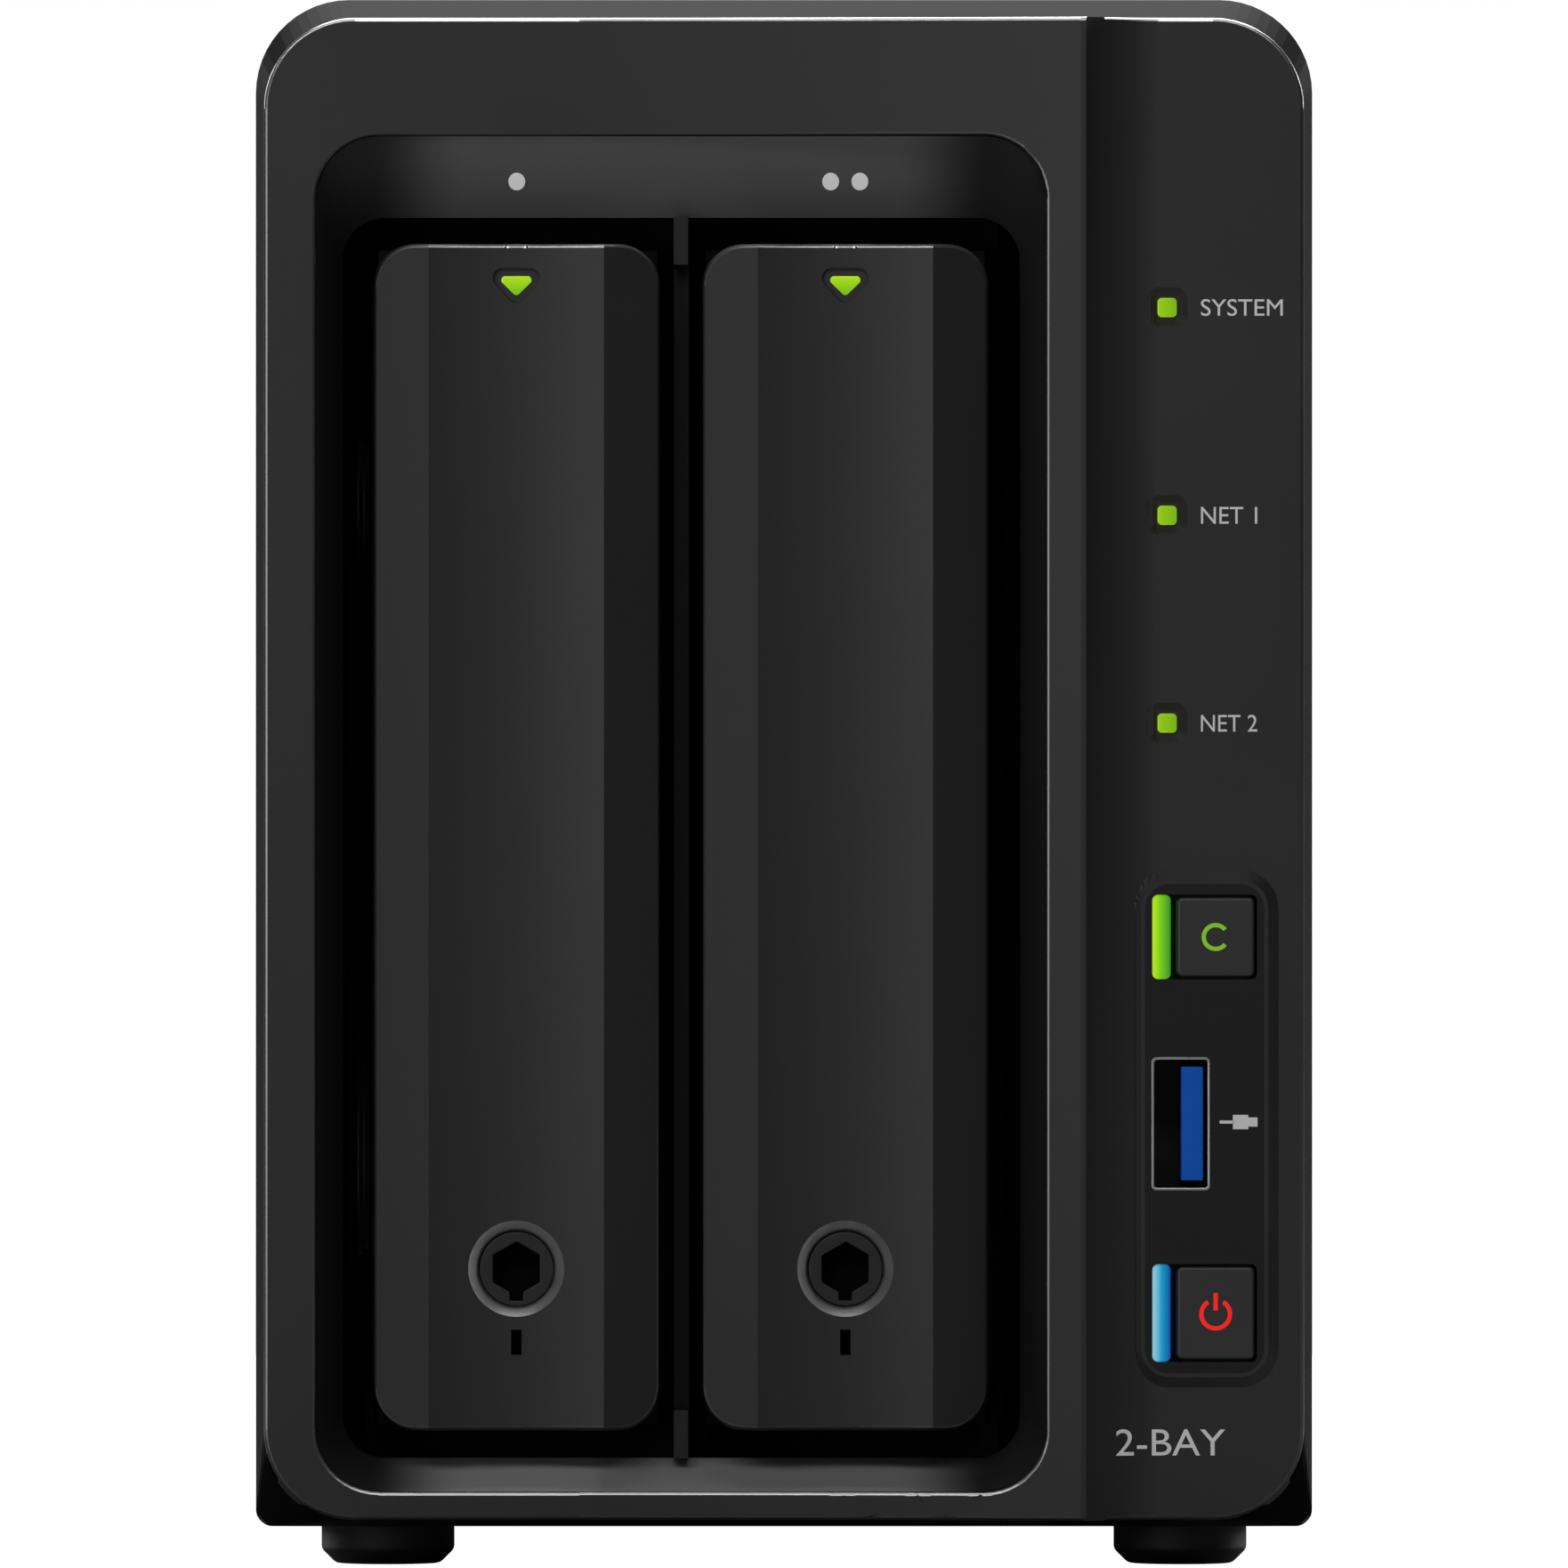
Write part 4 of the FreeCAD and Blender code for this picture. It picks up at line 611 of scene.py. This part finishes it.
def dark_inside(piece, inset, bright_mouth):
    """Give the faces inside each separate shell the second material."""
    work = bmesh.new()
    work.from_mesh(piece.data)
    left_over = set(work.verts)
    while left_over:
        island = set()
        reach = [left_over.pop()]
        while reach:
            vert = reach.pop()
            island.add(vert)
            for edge in vert.link_edges:
                other = edge.other_vert(vert)
                if other in left_over:
                    left_over.discard(other)
                    reach.append(other)
        low = [min(v.co[axis] for v in island) + inset for axis in (0, 2)]
        high = [max(v.co[axis] for v in island) - inset for axis in (0, 2)]
        front, back = min(v.co.y for v in island), max(v.co.y for v in island)
        for face in {face for vert in island for face in vert.link_faces}:
            place = face.calc_center_median()
            inside = low[0] < place.x < high[0] and low[1] < place.z < high[1]
            at_mouth = bright_mouth and min(place.y - front, back - place.y) < MOUTH_DEPTH
            face.material_index = 1 if inside and not at_mouth else 0
    work.to_mesh(piece.data)
    work.free()


# Inside the USB shells the dark finish is painted shade on the metal.
shells = rounded("usb_shells", SHELL_RADIUS, "port_steel")
shells.data.materials.append(FINISHES["port_black"])
dark_inside(shells, SHELL_WALL, True)
jacks = rounded("lan_ports", JACK_RADIUS, "port_steel")
jacks.data.materials.append(FINISHES["port_black"])
dark_inside(jacks, JACK_WALL, False)
print("port shells lined")

# %% [markdown]
# The lenses are clear mouldings with softly rounded edges, so they are rounded in the same way
# and each wears the lit finish made for it.

# %% Lens pieces
LENS_RADIUS, ARROW_RADIUS = 0.15 * MM, 0.12 * MM
rounded("copy_light_strip", LENS_RADIUS, "green_lens", copy_lens)
rounded("power_light_strip", LENS_RADIUS, "blue_lens", power_lens)
rounded("status_lenses", LENS_RADIUS, "green_lens", status_lens)
for number in (1, 2):
    rounded(f"arrow_lens_{number}", ARROW_RADIUS, "green_lens", arrow_lens)
print("lens pieces made")

# %% [markdown]
# What stays as packed gets its finish directly: the inside of the box is seen through the
# vents, the fan grille and the open bays.

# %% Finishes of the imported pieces
for node, obj in frame["nodes"].items():
    obj.data.materials.clear()
    obj.data.materials.append(FINISHES.get(slot_of[node], FINISHES["bezel_plastic"]))
print("packed pieces dressed:", len(frame["nodes"]))

# %% [markdown]
# The marks on the front are printed, a few hundredths of a millimetre of ink. Each is a thin
# solid laid on its face: dots number the bays, words name the lights, and the two buttons
# carry a ring and a power sign. Words are made with a text object, turned into a mesh and
# fitted to the height and width that they have on the panel.

# %% Ink helpers
INK = 0.04 * MM
INK_STEPS = 40
LETTER_DEPTH = 0.1
FLAT_FACE = case_low.y + RIDGE_RISE


def ink_piece(name, mesh, material, body):
    piece = link(name, mesh)
    piece.data.materials.clear()
    piece.data.materials.append(material)
    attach(piece, body)


def words(name, text, left, middle, tall, wide):
    """Words printed on the bezel: left edge, height of the middle, cap height and width."""
    curve = bpy.data.curves.new(name, "FONT")
    curve.body = text
    curve.extrude = LETTER_DEPTH / 2
    curve.resolution_u = 6
    holder = link(name + "_curve", curve)
    bpy.context.view_layer.update()
    mesh = bpy.data.meshes.new_from_object(holder)
    bpy.data.objects.remove(holder)
    low = [min(v.co[axis] for v in mesh.vertices) for axis in range(3)]
    high = [max(v.co[axis] for v in mesh.vertices) for axis in range(3)]
    centre = Vector((low[0], (low[1] + high[1]) / 2, 0))
    scale = Matrix.Diagonal((wide / (high[0] - low[0]), tall / (high[1] - low[1]), INK / LETTER_DEPTH, 1))
    turn = Matrix.Rotation(math.radians(90), 4, "X")
    place = Matrix.Translation((left, FLAT_FACE, middle))
    mesh.transform(place @ turn @ scale @ Matrix.Translation(-centre))
    for vert in mesh.vertices:
        vert.co.y += fall_depth(vert.co.x) - FLAT_FACE
    mesh.name = name
    ink_piece(name, mesh, WHITE_INK, "case")


def ring(name, x, z, radius, stroke, start, sweep, face, material, body):
    """An arc of ink facing the front; angles in degrees, counter-clockwise from the right."""
    work = bmesh.new()
    turn = math.radians(start)
    corners = []
    for reach, depth in ((-1, 0), (1, 0), (1, -INK), (-1, -INK)):
        r = radius + reach * stroke / 2
        corners.append(work.verts.new((x + r * math.cos(turn), face + depth, z + r * math.sin(turn))))
    section = work.faces.new(corners)
    bmesh.ops.spin(work, geom=[section, *section.edges, *section.verts], cent=(x, face, z),
                   axis=(0, -1, 0), angle=math.radians(sweep), steps=INK_STEPS, use_duplicate=False)
    bmesh.ops.remove_doubles(work, verts=work.verts, dist=1e-8)
    bmesh.ops.recalc_face_normals(work, faces=work.faces)
    mesh = bpy.data.meshes.new(name)
    work.to_mesh(mesh)
    work.free()
    ink_piece(name, mesh, material, body)


def bars(name, shapes, face, material, body):
    """Flat bars of ink: each is (x, z, width, height)."""
    work = bmesh.new()
    for x, z, wide, tall in shapes:
        place = Matrix.Translation((x, face - INK / 2, z)) @ Matrix.Diagonal((wide, INK, tall, 1))
        bmesh.ops.create_cube(work, size=1.0, matrix=place)
    mesh = bpy.data.meshes.new(name)
    work.to_mesh(mesh)
    work.free()
    ink_piece(name, mesh, material, body)


print("flat face of the bezel at y", round(FLAT_FACE, 5))

# %% [markdown]
# Each status light has its name printed to its right, and the number of bays stands at the foot
# of the control column. The names take their place and height from the lights beside them.

# %% Words beside the lights
LABEL_TALL = 1.64 * MM
LABEL_GAP = 3.3 * MM
LIGHT_NAMES = (("SYSTEM", 8.0 * MM), ("NET 1", 5.5 * MM), ("NET 2", 5.5 * MM))
HALF_LENS = 1.55 * MM
SIZE_FROM_RIGHT = 19.3 * MM
SIZE_HEIGHT = 8.35 * MM
SIZE_TALL, SIZE_WIDE = 2.58 * MM, 10.7 * MM
lens_low, lens_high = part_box("status_lenses")
label_left = (lens_low.x + lens_high.x) / 2 + LABEL_GAP
light_heights = (lens_high.z - HALF_LENS, (lens_low.z + lens_high.z) / 2, lens_low.z + HALF_LENS)
for (name, wide), height in zip(LIGHT_NAMES, light_heights):
    words("label_" + name.lower().replace(" ", "_"), name, label_left, height, LABEL_TALL, wide)
words("label_size", "2-BAY", case_high.x - SIZE_FROM_RIGHT, case_low.z + SIZE_HEIGHT, SIZE_TALL, SIZE_WIDE)
print("words printed")

# %% [markdown]
# The bay numbers sit on the sloping lintel above the trays, one dot and two dots. The lintel
# leans back at about forty-five degrees, so each dot is a disc turned to lie on it and stretched
# so that it reads as round from the front.

# %% Bay dots
DOT_RADIUS = 0.82 * MM
LINTEL_DROP = 4.28 * MM
FUNNEL_TOP = 13.47 * MM
LINTEL_TALL, LINTEL_DEEP = 7.76 * MM, 7.8 * MM
LINTEL_SET_BACK = 0.6 * MM
DOT_SPREAD = 1.43 * MM
lintel_top = case_high.z - FUNNEL_TOP
lintel_lean = math.atan2(LINTEL_TALL, LINTEL_DEEP)


def dot(name, x):
    work = bmesh.new()
    bmesh.ops.create_cone(work, cap_ends=True, segments=INK_STEPS, radius1=DOT_RADIUS,
                          radius2=DOT_RADIUS, depth=INK)
    stretch = Matrix.Diagonal((1, 1 / math.sin(lintel_lean), 1, 1))
    lean = Matrix.Rotation(math.radians(90) + lintel_lean, 4, "X")
    depth = FLAT_FACE + LINTEL_SET_BACK + LINTEL_DROP / math.tan(lintel_lean)
    place = Matrix.Translation((x, depth - INK / 2, lintel_top - LINTEL_DROP - INK / 2))
    bmesh.ops.transform(work, matrix=place @ lean @ stretch, verts=work.verts)
    mesh = bpy.data.meshes.new(name)
    work.to_mesh(mesh)
    work.free()
    ink_piece(name, mesh, DOT_INK, "case")


tray_x = []
for number in (1, 2):
    low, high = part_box(f"tray_handle_{number}")
    tray_x.append((low.x + high.x) / 2)
dot("bay_dot_1", tray_x[0])
dot("bay_dot_2a", tray_x[1] - DOT_SPREAD)
dot("bay_dot_2b", tray_x[1] + DOT_SPREAD)
print("bay dots printed")

# %% [markdown]
# The copy button carries a green ring that is open on the right, and the power button the usual
# broken circle with a bar in its gap. A ring is a four-cornered section of ink spun through
# part of a turn. Both signs ride on their buttons, so they go in with them.

# %% Button signs
SIGN_STROKE = 0.42 * MM
COPY_RING = 1.165 * MM
COPY_START, COPY_SWEEP = 38, 284
POWER_RING = 1.4 * MM
POWER_START, POWER_SWEEP = 122, 296
POWER_RING_DROP = 0.1 * MM
POWER_BAR_RISE, POWER_BAR_TALL = 1.1 * MM, 1.7 * MM
GREEN_INK = self_lit(finish("green_ink", (0.22, 0.5, 0.015), 0.5, grain=4000, bump=0.02, mottle=0.03),
                     (0.22, 0.55, 0.02), 0.35)
RED_INK = self_lit(finish("red_ink", (1.0, 0.008, 0.0), 0.5, grain=4000, bump=0.02, mottle=0.03),
                   (1.0, 0.01, 0.01), 0.4)
copy_low, copy_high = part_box("copy_button")
cap_x = (copy_low.x + copy_high.x) / 2
copy_z = (copy_low.z + copy_high.z) / 2
ring("copy_sign", cap_x, copy_z, COPY_RING, SIGN_STROKE, COPY_START, COPY_SWEEP, copy_low.y,
     GREEN_INK, "copy_button")
power_low, power_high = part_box("power_button")
power_z = (power_low.z + power_high.z) / 2
ring("power_sign", cap_x, power_z - POWER_RING_DROP, POWER_RING, SIGN_STROKE, POWER_START,
     POWER_SWEEP, power_low.y, RED_INK, "power_button")
bars("power_sign_bar", [(cap_x, power_z + POWER_BAR_RISE, SIGN_STROKE, POWER_BAR_TALL)], power_low.y,
     RED_INK, "power_button")
print("button signs printed")

# %% [markdown]
# Beside the front port a small plug sign says what it is for: a lead, a plug body and its
# metal tip, drawn with three bars so that it is nobody's mark.

# %% Plug sign
PLUG_HEIGHT = 24.55 * MM
PLUG_FROM_RIGHT = 2.4 * MM
panel_low, panel_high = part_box("control_panel")
plug_z = panel_low.z + PLUG_HEIGHT
plug_x = panel_high.x - PLUG_FROM_RIGHT
lead = (plug_x - 1.25 * MM, plug_z, 1.4 * MM, 0.3 * MM)
plug_body = (plug_x + 0.1 * MM, plug_z, 1.5 * MM, 1.4 * MM)
tip = (plug_x + 1.3 * MM, plug_z, 0.9 * MM, 0.9 * MM)
bars("plug_sign", [lead, plug_body, tip], panel_low.y, WHITE_INK, "case")
print("plug sign printed")

# %% [markdown]
# Round each lock the handle has a polished conical collar. It is a thin ring made by spinning
# a four-cornered section once round, a little proud of the moulded seat so that its lower half
# catches the light from above. The key socket inside the lock barrel gets painted shade, a
# near-black with almost no shine.

# %% Lock collars
COLLAR_OUTER = 4.7 * MM
COLLAR_INNER = 3.72 * MM
COLLAR_DEPTH = 1.2 * MM
COLLAR_PROUD = 0.08 * MM
COLLAR_WALL = 0.1 * MM
COLLAR_FOOT = 0.05 * MM
COLLAR_STEPS = 72
COLLAR_SHARP = math.radians(35)
SOCKET_REACH = 3.2 * MM
SOCKET_START = 0.1 * MM
COLLAR_METAL = finish("collar_metal", (0.95, 0.95, 0.95), 0.3, metallic=1.0, grain=2000, bump=0.02)


def collar(number):
    low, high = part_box(f"lock_barrel_{number}")
    handle_low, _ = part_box(f"tray_handle_{number}")
    x = (low.x + high.x) / 2
    z = high.z - (high.x - low.x) / 2
    front = handle_low.y + HANDLE_DISH
    work = bmesh.new()
    corners = [work.verts.new((x + r, y, z)) for r, y in (
        (COLLAR_OUTER, front - COLLAR_PROUD), (COLLAR_INNER, front + COLLAR_DEPTH - COLLAR_WALL),
        (COLLAR_INNER, front + COLLAR_DEPTH), (COLLAR_OUTER, front + COLLAR_FOOT))]
    edges = [work.edges.new((corners[i - 1], corners[i])) for i in range(4)]
    bmesh.ops.spin(work, geom=corners + edges, cent=(x, front, z), axis=(0, 1, 0),
                   angle=math.radians(360), steps=COLLAR_STEPS, use_merge=True)
    bmesh.ops.recalc_face_normals(work, faces=work.faces)
    mesh = bpy.data.meshes.new(f"lock_collar_{number}")
    work.to_mesh(mesh)
    work.free()
    mesh.shade_smooth()
    mesh.set_sharp_from_angle(angle=COLLAR_SHARP)
    ink_piece(f"lock_collar_{number}", mesh, COLLAR_METAL, f"handle_{number}")


def paint_socket_shade(number):
    """The key socket runs deep: its walls and floor get painted shade, a near-black that barely shines."""
    barrel = bpy.data.objects[f"lock_barrel_{number}_rounded"]
    barrel.data.materials.append(SOCKET_PAINTED_SHADE)
    low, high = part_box(f"lock_barrel_{number}")
    centre = Vector(((low.x + high.x) / 2, 0, high.z - (high.x - low.x) / 2))
    for face in barrel.data.polygons:
        reach = Vector((face.center.x, 0, face.center.z)) - centre
        if reach.length < SOCKET_REACH and face.center.y > low.y + SOCKET_START:
            face.material_index = 1


# Painted shade for the deep key socket.
SOCKET_PAINTED_SHADE = finish("socket_painted_shade", (0.001, 0.001, 0.001), 0.9, grain=2000, bump=0.02, specular=0.1)
for number in (1, 2):
    collar(number)
    paint_socket_shade(number)
print("lock collars spun")

# %% [markdown]
# Stage and light. A grey floor and a surround that look white to the camera but give almost no
# light, so that the black plastics keep their depth. A soft box overhead draws the bright line
# along every top edge together with the painted highlight of the outline finish, a long strip
# high in front and a box at the lower left light the front, and three more behind and beside
# the object show its back and flanks from other angles.


# %% Stage and lights
def soft_box(name, place, target, size, power):
    light = bpy.data.lights.new(name, "AREA")
    light.shape = "RECTANGLE"
    light.size, light.size_y = size
    light.energy = power
    lamp = bpy.data.objects.new(name, light)
    bpy.context.scene.collection.objects.link(lamp)
    lamp.location = place
    lamp.rotation_euler = (Vector(target) - Vector(place)).to_track_quat("-Z", "Y").to_euler()


FLOOR_HALF = 0.7
FLOOR_DROP = 0.2 * MM
WORLD_LIGHT = 0.03
floor_work = bmesh.new()
bmesh.ops.create_grid(floor_work, x_segments=1, y_segments=1, size=FLOOR_HALF)
bmesh.ops.translate(floor_work, verts=floor_work.verts, vec=(0, 0, -FLOOR_DROP))
floor_mesh = bpy.data.meshes.new("studio_floor")
floor_work.to_mesh(floor_mesh)
floor_work.free()
floor = link("studio_floor", floor_mesh)
floor_paper = finish("floor_paper", (0.3, 0.3, 0.3), 0.7, grain=300, bump=0.02, mottle=0.02)
glow_tree = floor_paper.node_tree
floor_shader = glow_tree.nodes["Principled BSDF"]
floor_shader.inputs["Emission Color"].default_value = (1, 1, 1, 1)
camera_rays = glow_tree.nodes.new("ShaderNodeLightPath")
glow_tree.links.new(camera_rays.outputs["Is Camera Ray"], floor_shader.inputs["Emission Strength"])
floor.data.materials.append(floor_paper)

world = bpy.data.worlds.new("studio")
bpy.context.scene.world = world
world.use_nodes = True
tree = world.node_tree
tree.nodes.clear()
seen = tree.nodes.new("ShaderNodeBackground")
seen.inputs["Color"].default_value = (1, 1, 1, 1)
seen.inputs["Strength"].default_value = 1.0
lighting = tree.nodes.new("ShaderNodeBackground")
lighting.inputs["Color"].default_value = (1, 1, 1, 1)
lighting.inputs["Strength"].default_value = WORLD_LIGHT
rays = tree.nodes.new("ShaderNodeLightPath")
mix = tree.nodes.new("ShaderNodeMixShader")
out = tree.nodes.new("ShaderNodeOutputWorld")
tree.links.new(rays.outputs["Is Camera Ray"], mix.inputs["Fac"])
tree.links.new(lighting.outputs["Background"], mix.inputs[1])
tree.links.new(seen.outputs["Background"], mix.inputs[2])
tree.links.new(mix.outputs["Shader"], out.inputs["Surface"])
front_of_box, middle_of_box, back_of_box = (0, -0.1, 0.08), (0, 0.0, 0.08), (0, 0.1, 0.08)
soft_box("top_box", (0.0, 0.1, 1.0), front_of_box, (0.9, 0.7), 5.0)
soft_box("front_strip", (-0.2, -1.1, 0.75), front_of_box, (1.4, 0.2), 5.0)
soft_box("left_box", (-0.8, -1.5, 0.0), front_of_box, (0.9, 0.5), 4.6)
soft_box("back_box", (0.2, 1.0, 1.1), back_of_box, (1.0, 0.8), 14.0)
soft_box("right_side", (1.4, 0.95, 0.5), middle_of_box, (0.6, 0.6), 12.0)
soft_box("left_side", (-1.4, 0.95, 0.5), middle_of_box, (0.6, 0.6), 12.0)
print("lights placed")
